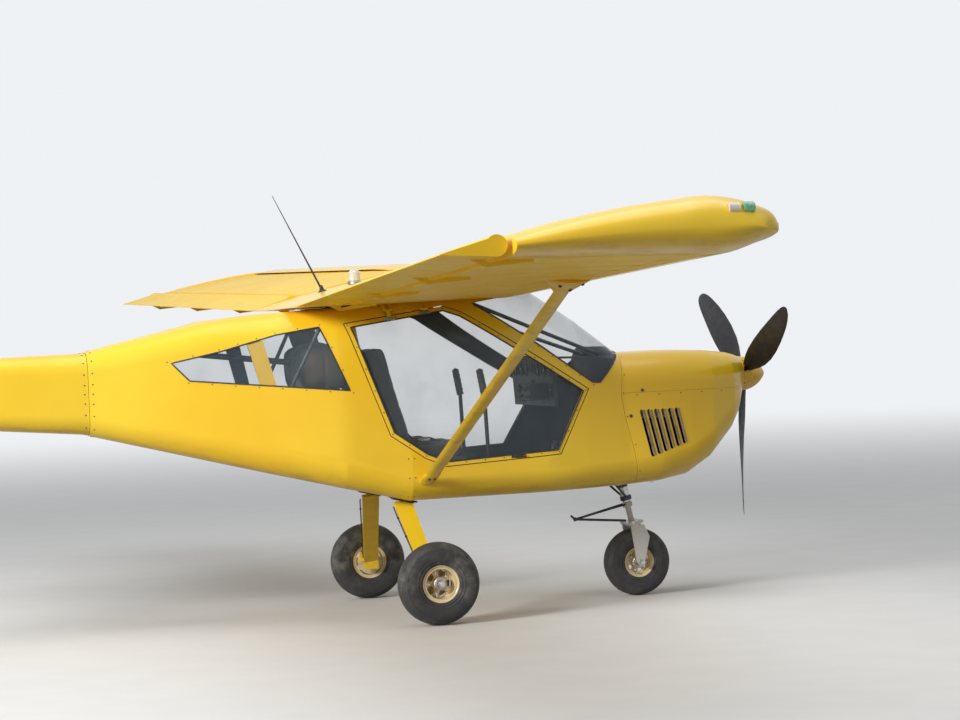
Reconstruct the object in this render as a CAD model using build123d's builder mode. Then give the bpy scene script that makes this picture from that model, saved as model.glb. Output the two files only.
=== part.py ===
from build123d import *
import os

# Two-seat microlight aircraft with a high wing, a tricycle gear and a tail boom
# X runs forward, Y to the left wing tip, Z up, with the floor under the wheels at Z = 0

# Overall sizes
tip_y = 4775
nose_tip_x = 3112
tail_end_x = -3112
antenna_top_z = 2371

# Wheels
main_x = 890
main_y = 870
main_radius = 222
main_width = 150
main_rim_radius = 97
nose_x = 2284
nose_radius = 194
nose_width = 128
nose_rim_radius = 84
axle_radius = 14
running_gap = 0.06
tyre_gap = 10

# Body shell
shell = 5
lip = 24
door_gap = 5
door_depth = 20
pane = 3
seam_gap = 2
touch_gap = 0.3
pod_end_x = -840
side_reach = 700

# Columns: x, half width low, half width high, bottom, top, low corner radius, high corner radius
hull_table = [
    (pod_end_x, 185, 165, 1072, 1530, 100, 120),
    (-190, 372, 322, 903, 1672, 130, 170),
    (100, 455, 390, 828, 1700, 140, 200),
    (480, 585, 500, 733, 1717, 140, 220),
    (840, 620, 550, 648, 1750, 120, 230),
    (1600, 600, 540, 652, 1782, 120, 300),
    (1870, 545, 485, 655, 1598, 130, 250),
    (2120, 490, 430, 660, 1402, 140, 200),
    (2330, 472, 415, 672, 1404, 150, 200),
    (2505, 435, 390, 700, 1405, 160, 200),
    (2665, 385, 350, 785, 1396, 170, 190),
    (2827, 275, 270, 930, 1378, 160, 160),
    (2885, 205, 205, 1008, 1366, 130, 140),
    (2930, 135, 135, 1125, 1350, 90, 90),
]
cowl_nose_x = 2930
cowl_split_z = 1178
firewall_x = 2062

# Outlines in side view, as x and z
door_glass = [
    (549, 1604), (751, 1025), (925, 902), (1035, 855), (1673, 888), (1847, 1203),
    (1155, 1643), (1068, 1675), (800, 1638),
]
rear_glass = [
    (-400, 1449), (-310, 1351), (521, 1265), (381, 1612), (154, 1579), (-146, 1500),
]
windscreen_hole = [
    (1240, 1712), (1911, 1247), (1958, 1246), (2105, 1402), (2105, 1900), (1590, 1900), (1590, 1762),
]
cowl_seam = [(2119, 1500), (2119, 1402), (2087, 1178), (2103, 1046), (2141, 888), (2165, 724), (2177, 500)]
rear_seam = [(834, 500), (834, 1010), (610, 1500), (560, 1630), (560, 2000)]
tub_seam = [(2104, 1600), (1950, 1300), (1911, 1247), (1850, 1180), (1673, 1000), (834, 1010)]

# Door hinge line, along X above the glass
hinge_y = 500
hinge_z = 1690
hinge_radius = 6
hinge_pin = 3
hinge_spots = (760, 960)

# Wing
chord = 1411
root_y = 630
join_y = 4562
sweep = 0.0545
dihedral = 0.0214
root_incidence = 0.070
tip_incidence = 0.039
lead_x = 1640
lead_z = 1824
wing_rear = 0.79
flap_front = 0.807
flap_in = 655
flap_out = 4700
flap_hinge = (0.84, -0.03)
flap_arms = (720, 1980, 3240, 4500)
arm_thick = 6

# Lift strut
strut_foot = (913, -604, 745)
strut_top = (1180, -2600, 1800)
strut_chord = 86
strut_thick = 32
cuff_chord = 290
cuff_thick = 70
cuff_length = 150

# Propeller
thrust_z = 1248
prop_radius = 835
prop_x = 2976
prop_angle = 6.5
blade_count = 3
spinner_base_x = 2942
spinner_radius = 102
shaft_radius = 25

# Tail
boom_wall = 3
tail_z = 1330
tail_half_span = 1190
tail_skin = 3
tail_hinge_x = -2812
control_gap = 12
fin_root_z = 1380
fin_top_z = 2330
rudder_low_z = 1530

# Undercarriage
leg_top = (820, 400, 640)
leg_thick = 22
leg_wide = 100
leg_foot_wide = 84
steer_top = Vector(2213, 0, 660)
steer_dir = Vector(0.2124, 0, -0.9772)
leg_tube_radius = 24
fork_shaft_radius = 17
fork_plate = 12
crown_thick = 14

# Cabin
floor_z = 682
floor_thick = 16
seat_y = 270
seat_width = 430
panel_x = 1698
shelf_z = 1244


def save(part, name):
    part.label = name
    export_step(part, "parts/" + name + ".step")


def hull_section(x, low, high, bottom, top, low_corner, high_corner, inset):
    with BuildSketch(Plane.YZ.offset(x)) as section:
        with BuildLine():
            Polyline(
                (-low + inset, bottom + inset),
                (low - inset, bottom + inset),
                (high - inset, top - inset),
                (-high + inset, top - inset),
                close=True,
            )
        make_face()
        fillet(section.vertices().sort_by(Axis.Y)[:2], low_corner - inset)
        fillet(section.vertices().sort_by(Axis.Y)[-2:], high_corner - inset)
    return section.sketch


def lofted(table, inset):
    with BuildPart() as body:
        for row in table:
            add(hull_section(*row, inset))
        loft(ruled=True)
    return body.part


def side_block(points, grow=0, reach=side_reach):
    with BuildPart() as block:
        with BuildSketch(Plane.XZ):
            with BuildLine():
                Polyline(*points, close=True)
            make_face()
            if grow:
                offset(amount=grow, kind=Kind.INTERSECTION)
        extrude(amount=reach, both=True)
    return block.part


def plate(points, y_from, y_to):
    with BuildPart() as flat:
        with BuildSketch(Plane.XZ.offset(y_from)):
            with BuildLine():
                Polyline(*points, close=True)
            make_face()
        extrude(amount=y_to - y_from)
    return flat.part


def rod(start, end, radius):
    run = Vector(*end) - Vector(*start)
    with BuildPart() as bar:
        with BuildSketch(Plane(origin=start, z_dir=run)):
            Circle(radius)
        extrude(amount=run.length)
    return bar.part


def block(x_from, x_to, y_from, y_to, z_from, z_to):
    middle = ((x_from + x_to) / 2, (y_from + y_to) / 2, (z_from + z_to) / 2)
    with BuildPart() as box:
        with Locations(middle):
            Box(x_to - x_from, y_to - y_from, z_to - z_from)
    return box.part


def both_sides(part):
    with BuildPart() as pair:
        add(part)
        mirror(part, about=Plane.XZ)
    return pair.part


def mirrored(part):
    with BuildPart() as other:
        mirror(part, about=Plane.XZ)
    return other.part


os.makedirs("parts", exist_ok=True)

# Body solids: the outside, the inside and the zones that divide the shell
hull_outer = lofted(hull_table, 0)
hull_inner = lofted(hull_table, shell)
door_cut = side_block(door_glass, lip + door_gap)
rear_cut = side_block(rear_glass)
screen_cut = side_block(windscreen_hole)
cowl_zone = side_block(cowl_seam + [(3000, 500), (3000, 1500)])
rear_zone = side_block([(-1000, 500)] + rear_seam + [(-1000, 2000)])
tub_zone = side_block([(834, 500), (2400, 500), (2400, 1600)] + tub_seam)

with BuildPart() as pod_shell:
    add(hull_outer)
    add(hull_inner, mode=Mode.SUBTRACT)
    add(side_block(cowl_seam + [(3000, 500), (3000, 1500)], seam_gap), mode=Mode.SUBTRACT)
    add(door_cut, mode=Mode.SUBTRACT)
    add(rear_cut, mode=Mode.SUBTRACT)
    add(screen_cut, mode=Mode.SUBTRACT)
with BuildPart() as fuselage_rear:
    add(pod_shell.part)
    add(rear_zone, mode=Mode.INTERSECT)
with BuildPart() as fuselage_tub:
    add(pod_shell.part)
    add(rear_zone, mode=Mode.SUBTRACT)
    add(tub_zone, mode=Mode.INTERSECT)

# Hinge halves of the doors: arms that end in knuckles round one pin
hinge_arm = 14
hinge_knuckle = 20
hinge_play = 0.5


def hinge_blade(x_from, x_to, outline, bore):
    with BuildPart() as arm:
        with BuildSketch(Plane.YZ.offset(x_from)):
            with BuildLine():
                Polyline(*outline, close=True)
            make_face()
            with Locations((-hinge_y, hinge_z)):
                Circle(hinge_radius)
            if bore:
                with Locations((-hinge_y, hinge_z)):
                    Circle(hinge_pin + running_gap, mode=Mode.SUBTRACT)
        extrude(amount=x_to - x_from)
    return arm.part


roof_arm = [
    (-hinge_y - 3, hinge_z + 4), (-hinge_y + 60, hinge_z + 44), (-hinge_y + 84, hinge_z + 30),
    (-hinge_y + 46, hinge_z + 25), (-hinge_y + 3, hinge_z - 3),
]
door_arm = [
    (-hinge_y - 4, hinge_z + 2), (-hinge_y - 22, hinge_z - 26), (-hinge_y - 34, hinge_z - 60),
    (-hinge_y - 10, hinge_z - 56), (-hinge_y - 5, hinge_z - 22), (-hinge_y + 4, hinge_z - 2),
]
with BuildPart() as roof_hinges:
    for x in hinge_spots:
        reach = hinge_knuckle / 2 + hinge_play
        add(hinge_blade(x - reach - hinge_arm, x - reach, roof_arm, False))
        add(hinge_blade(x + reach, x + reach + hinge_arm, roof_arm, False))
        add(rod((x - reach, -hinge_y, hinge_z), (x + reach, -hinge_y, hinge_z), hinge_pin))
    add(hull_inner, mode=Mode.SUBTRACT)
with BuildPart() as door_hinges:
    for x in hinge_spots:
        add(hinge_blade(x - hinge_knuckle / 2, x + hinge_knuckle / 2, door_arm, True))

with BuildPart() as cabin_roof:
    add(pod_shell.part)
    add(rear_zone, mode=Mode.SUBTRACT)
    add(tub_zone, mode=Mode.SUBTRACT)
    add(both_sides(roof_hinges.part))
save(fuselage_rear.part, "fuselage_rear")
save(fuselage_tub.part, "fuselage_tub")
save(cabin_roof.part, "cabin_roof")

# Panes let into the shell's thickness
with BuildPart() as pane_shell:
    add(lofted(hull_table, (shell - pane) / 2))
    add(lofted(hull_table, (shell + pane) / 2), mode=Mode.SUBTRACT)
with BuildPart() as rear_windows:
    add(pane_shell.part)
    add(side_block(rear_glass, -touch_gap), mode=Mode.INTERSECT)
with BuildPart() as windscreen:
    add(pane_shell.part)
    add(side_block(windscreen_hole, -touch_gap), mode=Mode.INTERSECT)
save(rear_windows.part, "rear_windows")
save(windscreen.part, "windscreen")

# Doors: a skin as thick as the shell, a deeper frame inside it and a pane in the middle
with BuildPart() as door_frames:
    add(hull_outer)
    add(hull_inner, mode=Mode.SUBTRACT)
    add(side_block(door_glass, lip), mode=Mode.INTERSECT)
with BuildPart() as door_ribs:
    add(lofted(hull_table, shell - 1))
    add(lofted(hull_table, door_depth), mode=Mode.SUBTRACT)
    add(side_block(door_glass, lip / 2), mode=Mode.INTERSECT)
with BuildPart() as door_panes:
    add(lofted(hull_table, shell + 1))
    add(lofted(hull_table, shell + 1 + pane), mode=Mode.SUBTRACT)
    add(side_block(door_glass), mode=Mode.INTERSECT)
half_right = block(-1000, 3000, -1000, 0, 0, 3000)
with BuildPart() as door_frame:
    add(door_frames.part)
    add(door_ribs.part)
    add(half_right, mode=Mode.INTERSECT)
    add(door_hinges.part)
    add(side_block(door_glass), mode=Mode.SUBTRACT)
with BuildPart() as door_pane:
    add(door_panes.part)
    add(half_right, mode=Mode.INTERSECT)
save(door_frame.part, "door_frame_right")
save(door_pane.part, "door_pane_right")
save(mirrored(door_frame.part), "door_frame_left")
save(mirrored(door_pane.part), "door_pane_left")

# Cowl in two halves with a front wall and a row of louvres in each side
louvre_count = 6
louvre_x = 2230
louvre_z = 948
louvre_step = (41.4, 6.4)
louvre_length = 270
louvre_shrink = 12.6
louvre_width = 22
louvre_lean = 102
with BuildPart() as cowl_shell:
    add(hull_outer)
    add(hull_inner, mode=Mode.SUBTRACT)
    add(cowl_zone, mode=Mode.INTERSECT)
with BuildPart() as cowl_front:
    add(hull_outer)
    add(block(cowl_nose_x - shell, cowl_nose_x, -600, 600, 500, 1600), mode=Mode.INTERSECT)
    with BuildSketch(Plane.YZ.offset(cowl_nose_x - shell)):
        with Locations((0, thrust_z)):
            Circle(spinner_radius - 30)
    extrude(amount=shell, mode=Mode.SUBTRACT)
with BuildPart() as louvres:
    for number in range(louvre_count):
        with BuildSketch(Plane.XZ):
            with Locations((louvre_x + number * louvre_step[0], louvre_z + number * louvre_step[1])):
                SlotOverall(louvre_length - number * louvre_shrink, louvre_width, rotation=louvre_lean)
        extrude(amount=side_reach, both=True)
with BuildPart() as cowl_upper:
    add(cowl_shell.part)
    add(cowl_front.part)
    add(block(2000, 3000, -600, 600, cowl_split_z, 1600), mode=Mode.INTERSECT)
with BuildPart() as cowl_lower:
    add(cowl_shell.part)
    add(cowl_front.part)
    add(block(2000, 3000, -600, 600, 400, cowl_split_z - seam_gap / 2), mode=Mode.INTERSECT)
    add(louvres.part, mode=Mode.SUBTRACT)
save(cowl_upper.part, "cowl_upper")
save(cowl_lower.part, "cowl_lower")

# Firewall, and the engine as one block with its gearbox and shaft
with BuildPart() as firewall:
    add(hull_inner)
    add(block(firewall_x, firewall_x + 4, -900, 900, 400, 1800), mode=Mode.INTERSECT)
save(firewall.part, "firewall")
engine_front_x = 2740
gearbox_x = 2885
with BuildPart() as engine_block:
    add(block(2250, engine_front_x, -260, 260, 1025, 1325))
    with BuildSketch(Plane.YZ.offset(engine_front_x)):
        with Locations((0, thrust_z)):
            Circle(spinner_radius - 34)
    extrude(amount=gearbox_x - engine_front_x)
    with BuildSketch(Plane.YZ.offset(gearbox_x)):
        with Locations((0, thrust_z)):
            Circle(shaft_radius)
    extrude(amount=spinner_base_x + 30 - gearbox_x)
save(engine_block.part, "engine_block")

# Propeller: a hub with three twisted blades, and the spinner round it
# Columns: part of the radius, width, thickness, pitch in degrees
blade_table = [
    (0.06, 56, 40, 44), (0.16, 78, 28, 42), (0.3, 132, 19, 36), (0.48, 158, 14, 28),
    (0.7, 140, 11, 22), (0.88, 108, 8, 18), (0.97, 66, 6, 17), (1.0, 30, 5, 17),
]
with BuildPart() as blade:
    for part_out, width, thick, pitch in blade_table:
        with BuildSketch(Plane.XY.offset(-part_out * prop_radius).rotated((0, 0, pitch))):
            with BuildLine():
                ThreePointArc((0, -width / 2), (thick / 2, 0), (0, width / 2))
                ThreePointArc((0, width / 2), (-thick / 2, 0), (0, -width / 2))
            make_face()
    loft(ruled=True)
with BuildPart() as propeller_blades:
    with BuildSketch(Plane.YZ.offset(spinner_base_x + 8)):
        with Locations((0, thrust_z)):
            Circle(56)
    extrude(amount=56)
    for number in range(blade_count):
        with Locations(Location((prop_x, 0, thrust_z), (prop_angle + 360 / blade_count * number, 0, 0))):
            add(blade.part)
    with BuildSketch(Plane.YZ.offset(spinner_base_x)):
        with Locations((0, thrust_z)):
            Circle(shaft_radius + running_gap)
    extrude(amount=31, mode=Mode.SUBTRACT)
with BuildPart() as spinner:
    with BuildSketch(Plane.XZ):
        with BuildLine():
            Line((spinner_base_x, thrust_z), (spinner_base_x, thrust_z + spinner_radius))
            Line((spinner_base_x, thrust_z + spinner_radius), (spinner_base_x + 24, thrust_z + spinner_radius - 2))
            ThreePointArc(
                (spinner_base_x + 24, thrust_z + spinner_radius - 2),
                (spinner_base_x + 116, thrust_z + 0.66 * spinner_radius),
                (nose_tip_x, thrust_z),
            )
            Line((nose_tip_x, thrust_z), (spinner_base_x, thrust_z))
        make_face()
    revolve(axis=Axis((0, 0, thrust_z), (1, 0, 0)))
    with BuildSketch(Plane.YZ.offset(spinner_base_x)):
        with Locations((0, thrust_z)):
            Circle(56 + touch_gap)
    extrude(amount=64 + touch_gap, mode=Mode.SUBTRACT)
    add(propeller_blades.part, mode=Mode.SUBTRACT)
save(propeller_blades.part, "propeller_blades")
save(spinner.part, "spinner")


# Wing profile: a point of the chord at one span, as parts of the chord back and up
def incidence_at(y):
    return root_incidence + (tip_incidence - root_incidence) * (y - root_y) / (tip_y - root_y)


def wing_point(y, back_part, up_part, back=0, scale=1, thick=1):
    out = max(y - root_y, 0)
    aft = back + back_part * chord * scale
    x = lead_x - out * sweep - aft
    z = lead_z + out * dihedral - aft * incidence_at(max(y, root_y)) + up_part * chord * thick
    return x, z


def wing_section(y, lines, back=0, scale=1, thick=1):
    with BuildSketch(Plane.XZ.offset(y)) as section:
        with BuildLine():
            for line in lines:
                spots = [wing_point(abs(y), f, t, back, scale, thick) for f, t in line]
                if len(spots) == 3:
                    ThreePointArc(*spots)
                else:
                    Line(*spots)
        make_face()
    return section.sketch


front_lines = [
    [(0.28, 0.103), (0.09, 0.073), (0, 0)],
    [(0, 0), (0.08, -0.037), (0.25, -0.045)],
]
fixed_lines = [[(wing_rear, 0.046), (0.55, 0.083), (0.28, 0.103)]] + front_lines + [
    [(0.25, -0.045), (wing_rear, -0.018)],
    [(wing_rear, -0.018), (wing_rear, 0.046)],
]
full_lines = [[(0.998, 0.004), (0.6, 0.0735), (0.28, 0.103)]] + front_lines + [
    [(0.25, -0.045), (0.998, -0.002)],
    [(0.998, -0.002), (0.998, 0.004)],
]
flap_lines = [
    [(0.86, 0.036), (flap_front, 0.004), (0.838, -0.015)],
    [(0.838, -0.015), (1, 0)],
    [(1, 0), (1, 0.002)],
    [(1, 0.002), (0.86, 0.036)],
]

# Hinge arms under the wing and lugs under the flaperon, in planes across the hinge line
arm_radius = 9
lug_pin = 4
lug_thick = 5


def hinge_point(y):
    x, z = wing_point(y, *flap_hinge)
    return Vector(x, -y, z)


def hinge_line(y, reach, radius):
    start = hinge_point(y - reach)
    end = hinge_point(y + arm_thick + reach)
    return rod(tuple(start), tuple(end), radius)


def hinge_plate(y, offset_y, thick, corners):
    centre = hinge_point(y + offset_y)
    with BuildPart() as piece:
        with BuildSketch(Plane.XZ.offset(y + offset_y)):
            with BuildLine():
                Polyline(*[wing_point(y, *corner) for corner in corners], close=True)
            make_face()
            with Locations((centre.X, centre.Z)):
                Circle(arm_radius)
        extrude(amount=thick)
    return piece.part


arm_corners = [(0.7, -0.015), (0.785, -0.012), (0.788, -0.019), (0.838, -0.0245), (0.838, -0.0355), (0.7, -0.03)]
lug_corners = [(0.834, -0.033), (0.84, -0.036), (0.885, -0.012), (0.885, -0.004), (0.845, -0.008), (0.834, -0.027)]
with BuildPart() as wing:
    add(wing_section(root_y, fixed_lines))
    add(wing_section(join_y - seam_gap, fixed_lines))
    loft(ruled=True)
    for y in flap_arms:
        add(hinge_plate(y, 0, arm_thick, arm_corners))
        add(hinge_line(y, lug_thick + 1, lug_pin))
with BuildPart() as flap:
    add(wing_section(flap_in, flap_lines))
    add(wing_section(flap_out, flap_lines))
    loft(ruled=True)
    for y in flap_arms:
        add(hinge_plate(y, -lug_thick - hinge_play, lug_thick, lug_corners))
        add(hinge_plate(y, arm_thick + hinge_play, lug_thick, lug_corners))
        add(hinge_line(y, lug_thick + 3, lug_pin + running_gap), mode=Mode.SUBTRACT)

# Wing tip: the fixed profile drawn in to a blunt rounded end
# Columns: distance in from the tip, setback of the leading edge, share of the chord, share of the thickness
tip_table = [
    (tip_y - join_y, 0, 1, 1), (75, 10, 0.992, 0.96), (36, 34, 0.975, 0.8),
    (10, 78, 0.945, 0.55), (0, 120, 0.915, 0.34),
]
with BuildPart() as wing_tip:
    for inward, back, scale, thick in tip_table:
        add(wing_section(tip_y - inward, fixed_lines, back, scale, thick))
    loft(ruled=True)
with BuildPart() as wing_centre:
    add(wing_section(root_y - seam_gap, full_lines))
    add(wing_section(seam_gap - root_y, full_lines))
    loft(ruled=True)
    add(hull_outer, mode=Mode.SUBTRACT)
    roof_line = [(row[0], row[4]) for row in hull_table[1:8]]
    add(side_block(roof_line + [(2120, 900), (-190, 900)], 0, 900), mode=Mode.SUBTRACT)
    add(both_sides(roof_hinges.part), mode=Mode.SUBTRACT)
save(wing_centre.part, "wing_centre")

# Position lamps on each tip
lamp_length = 44
lamp_spots = (0.1, 0.145)
with BuildPart() as tip_lamp:
    for part_back in lamp_spots:
        lamp_x, lamp_z = wing_point(tip_y - 50, part_back, 0.07)
        with Locations(Location((lamp_x, 40 - tip_y, lamp_z), (40, 0, 0))):
            Box(lamp_length, 46, 46)
    fillet(tip_lamp.edges().filter_by(Axis.X), 20)
    add(wing_tip.part, mode=Mode.SUBTRACT)
save(both_sides(tip_lamp.part), "tip_lamps")

# Lift strut with a cuff that widens to the wing
strut_run = Vector(*strut_top) - Vector(*strut_foot)
strut_side = Vector(1, strut_run.X / -strut_run.Y, 0)


def strut_lens(along, long, thick):
    origin = Vector(*strut_foot) + strut_run.normalized() * along
    with BuildSketch(Plane(origin=origin, x_dir=strut_side, z_dir=strut_run)) as lens:
        with BuildLine():
            ThreePointArc((-long / 2, 0), (0, thick / 2), (long / 2, 0))
            ThreePointArc((long / 2, 0), (0, -thick / 2), (-long / 2, 0))
        make_face()
    return lens.sketch


with BuildPart() as lift_strut:
    add(strut_lens(0, strut_chord, strut_thick))
    add(strut_lens(strut_run.length, strut_chord, strut_thick))
    loft(ruled=True)
with BuildPart() as strut_cuff:
    add(strut_lens(strut_run.length - cuff_length, strut_chord + 6, strut_thick + 4))
    add(strut_lens(strut_run.length - 10, cuff_chord, cuff_thick))
    loft(ruled=True)
with BuildPart() as strut_whole:
    add(lift_strut.part)
    add(strut_cuff.part)
    add(wing.part, mode=Mode.SUBTRACT)
    add(hull_outer, mode=Mode.SUBTRACT)

for piece, name in ((wing, "wing"), (wing_tip, "wing_tip"), (flap, "flaperon"), (strut_whole, "lift_strut")):
    save(piece.part, name + "_right")
    save(mirrored(piece.part), name + "_left")

# Whip antenna and beacon on the wing centre, drain pipe under the cowl
antenna_x, antenna_base_z = wing_point(root_y, 0.754, 0.0525)
antenna_tip_x = antenna_x - 0.507 * (antenna_top_z - antenna_base_z)
with BuildPart() as antenna:
    for spot, radius in (((antenna_x, 300, antenna_base_z - 20), 7), ((antenna_tip_x, 300, antenna_top_z), 2)):
        with BuildSketch(Plane(origin=spot, z_dir=(0, 0, 1))):
            Circle(radius)
    loft()
    add(wing_centre.part, mode=Mode.SUBTRACT)
save(antenna.part.solids().sort_by(Axis.Z)[-1], "antenna")
beacon_x, beacon_z = wing_point(root_y, 0.6726, 0.066)
with BuildPart() as beacon:
    with BuildSketch(Plane.XY.offset(beacon_z - 30)):
        with Locations((beacon_x, 0)):
            Circle(32)
    extrude(amount=112)
    fillet(beacon.edges().sort_by(Axis.Z)[-1], 24)
    add(wing_centre.part, mode=Mode.SUBTRACT)
save(beacon.part.solids().sort_by(Axis.Z)[-1], "beacon")
with BuildPart() as drain_pipe:
    add(rod((2398, 0, 740), (2396, 0, 643), 9))
    add(rod((2398, 0, 750), (2396, 0, 640), 6), mode=Mode.SUBTRACT)
    add(hull_outer, mode=Mode.SUBTRACT)
save(drain_pipe.part, "drain_pipe")

# Tail boom, hollow, from the pod's rear edge
# Columns as in the hull table
boom_table = [
    (pod_end_x - seam_gap, 180, 160, 1079, 1523, 96, 116),
    (-2000, 120, 105, 1180, 1505, 70, 80),
    (-2900, 62, 52, 1262, 1478, 40, 40),
]
boom_solid = lofted(boom_table, 0)
boom_slot = block(tail_hinge_x - 90, tail_hinge_x + 20, -200, 200, tail_z - 45, tail_z + 45)
with BuildPart() as tail_boom:
    add(boom_solid)
    add(lofted(boom_table, boom_wall), mode=Mode.SUBTRACT)
    add(boom_slot, mode=Mode.SUBTRACT)
save(tail_boom.part, "tail_boom")

# Tail surfaces as skins round a hollow
# Outline points are the part of the chord back and the part of the thickness up
fixed_tail = [(0, 0.18), (0.12, 0.5), (0.6, 0.5), (1, 0.36), (1, -0.36), (0.6, -0.5), (0.12, -0.5), (0, -0.18)]
moved_tail = [(0, 0.5), (1, 0.06), (1, -0.06), (0, -0.5)]


def tail_surface(rows, upright, inset, outline):
    with BuildPart() as body:
        for place, front, rear, thick in rows:
            plane = Plane.XY.offset(place) if upright else Plane.XZ.offset(place).shift_origin((0, -place, tail_z))
            with BuildSketch(plane):
                with BuildLine():
                    Polyline(*[(front - f * (front - rear), t * thick) for f, t in outline], close=True)
                make_face()
                if inset:
                    offset(amount=-inset, kind=Kind.INTERSECTION)
        loft(ruled=True)
    return body.part


# Columns: place along the span, front x, rear x, thickness
tail_front_x = tail_hinge_x + 562
tail_rear_x = tail_hinge_x + 22
elevator_front_x = tail_hinge_x + 8
tailplane_rows = [(0, tail_front_x, tail_rear_x, 52), (tail_half_span, tail_front_x - 180, tail_rear_x, 40)]
elevator_rows = [
    (118, elevator_front_x, elevator_front_x - 286, 36),
    (tail_half_span, elevator_front_x, elevator_front_x - 206, 28),
]
with BuildPart() as tailplane_half:
    add(tail_surface(tailplane_rows, False, 0, fixed_tail))
    add(block(-3200, -2000, -1400, tail_skin - tail_half_span, 1200, 1500), mode=Mode.SUBTRACT)
    add(tail_surface(tailplane_rows, False, tail_skin, fixed_tail), mode=Mode.SUBTRACT)
    add(tail_surface(tailplane_rows, False, 0, fixed_tail).intersect(
        block(-3200, -2000, -1400, tail_skin - tail_half_span, 1200, 1500)))
    add(boom_solid, mode=Mode.SUBTRACT)
save(both_sides(tailplane_half.part), "tailplane")
elevator_half = tail_surface(elevator_rows, False, 0, moved_tail)
with BuildPart() as elevator:
    add(both_sides(elevator_half))
    add(rod((tail_hinge_x, -130, tail_z), (tail_hinge_x, 130, tail_z), 8))
save(elevator.part, "elevator")

# Fin and rudder, hinged on pins between lugs
fin_rear_x = (-2800, -2880)
rudder_rows = [
    (rudder_low_z, fin_rear_x[0] - control_gap - 14, tail_end_x, 38),
    (fin_top_z, fin_rear_x[1] - control_gap, tail_end_x + 32, 26),
]
fin_rows = [(fin_root_z, -2050, fin_rear_x[0], 56), (fin_top_z, -2620, fin_rear_x[1], 36)]
rudder_lean = (rudder_rows[1][1] - rudder_rows[0][1]) / (fin_top_z - rudder_low_z)


def rudder_hinge(z):
    return rudder_rows[0][1] - 7 + (z - rudder_low_z) * rudder_lean


notch = 26
lug = 8
notches = (rudder_low_z + 180, rudder_low_z + 620)
with BuildPart() as fin:
    add(tail_surface(fin_rows, True, 0, fixed_tail))
    add(block(-3200, -1900, -100, 100, fin_top_z - tail_skin, fin_top_z + 100), mode=Mode.SUBTRACT)
    add(tail_surface(fin_rows, True, tail_skin, fixed_tail), mode=Mode.SUBTRACT)
    add(tail_surface(fin_rows, True, 0, fixed_tail).intersect(
        block(-3200, -1900, -100, 100, fin_top_z - tail_skin, fin_top_z + 100)))
    for z in notches:
        hinge_x = rudder_hinge(z + notch / 2)
        add(block(hinge_x - 7, hinge_x + 40, -6, 6, z + notch / 2 - lug / 2, z + notch / 2 + lug / 2))
        add(rod((rudder_hinge(z - 12), 0, z - 12), (rudder_hinge(z + notch + 12), 0, z + notch + 12), 4))
    add(boom_solid, mode=Mode.SUBTRACT)
with BuildPart() as rudder:
    add(tail_surface(rudder_rows, True, 0, moved_tail))
    for z in notches:
        add(block(rudder_hinge(z) - 24, rudder_hinge(z) + 60, -40, 40, z, z + notch), mode=Mode.SUBTRACT)
        add(
            rod((rudder_hinge(z - 13), 0, z - 13), (rudder_hinge(z + notch + 13), 0, z + notch + 13), 4 + running_gap),
            mode=Mode.SUBTRACT,
        )
save(fin.part, "fin")
save(rudder.part, "rudder")

# Main legs with their axles and brake calipers
hub_half = 40
disc_radius = 74
disc_inner = 58
disc_thick = 5
leg_low_y = main_y - main_width / 2 - 35
leg_low = (main_x - 6, leg_low_y, main_radius + 10)
with BuildPart() as main_leg:
    run = Vector(*leg_low) - Vector(*leg_top)
    for spot, wide in ((leg_top, leg_wide), (leg_low, leg_foot_wide)):
        with BuildSketch(Plane(origin=spot, x_dir=(1, 0, 0.15), z_dir=run)):
            Rectangle(wide, leg_thick)
    loft(ruled=True)
    add(rod((main_x, leg_low_y - 6, main_radius), (main_x, main_y + hub_half + 30, main_radius), axle_radius))
    add(block(main_x - 44, main_x + 40, leg_low_y - 8, leg_low_y + 14, main_radius - 42, main_radius + 46))
    caliper_y = main_y - disc_inner - disc_thick - 2
    add(block(main_x - 62, main_x - 24, leg_low_y - 4, caliper_y, main_radius + 6, main_radius + 52))
    add(hull_outer, mode=Mode.SUBTRACT)
save(main_leg.part, "main_leg_left")
save(mirrored(main_leg.part), "main_leg_right")


# Wheel: a tyre and a rim with its hub, web holes and, on the main wheels, a brake disc
def tyre_of(y, radius, width, rim):
    half = width / 2
    bead = half - 22
    waist = rim + 0.5 * (radius - rim)
    with BuildPart() as tyre:
        with BuildSketch(Plane.XY):
            with BuildLine():
                Line((rim - 6, y - bead), (rim - 6, y + bead))
                ThreePointArc((rim - 6, y + bead), (waist, y + half), (radius - 18, y + half - 34))
                ThreePointArc((radius - 18, y + half - 34), (radius, y), (radius - 18, y - half + 34))
                ThreePointArc((radius - 18, y - half + 34), (waist, y - half), (rim - 6, y - bead))
            make_face()
        revolve(axis=Axis.Y)
    return tyre.part


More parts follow.
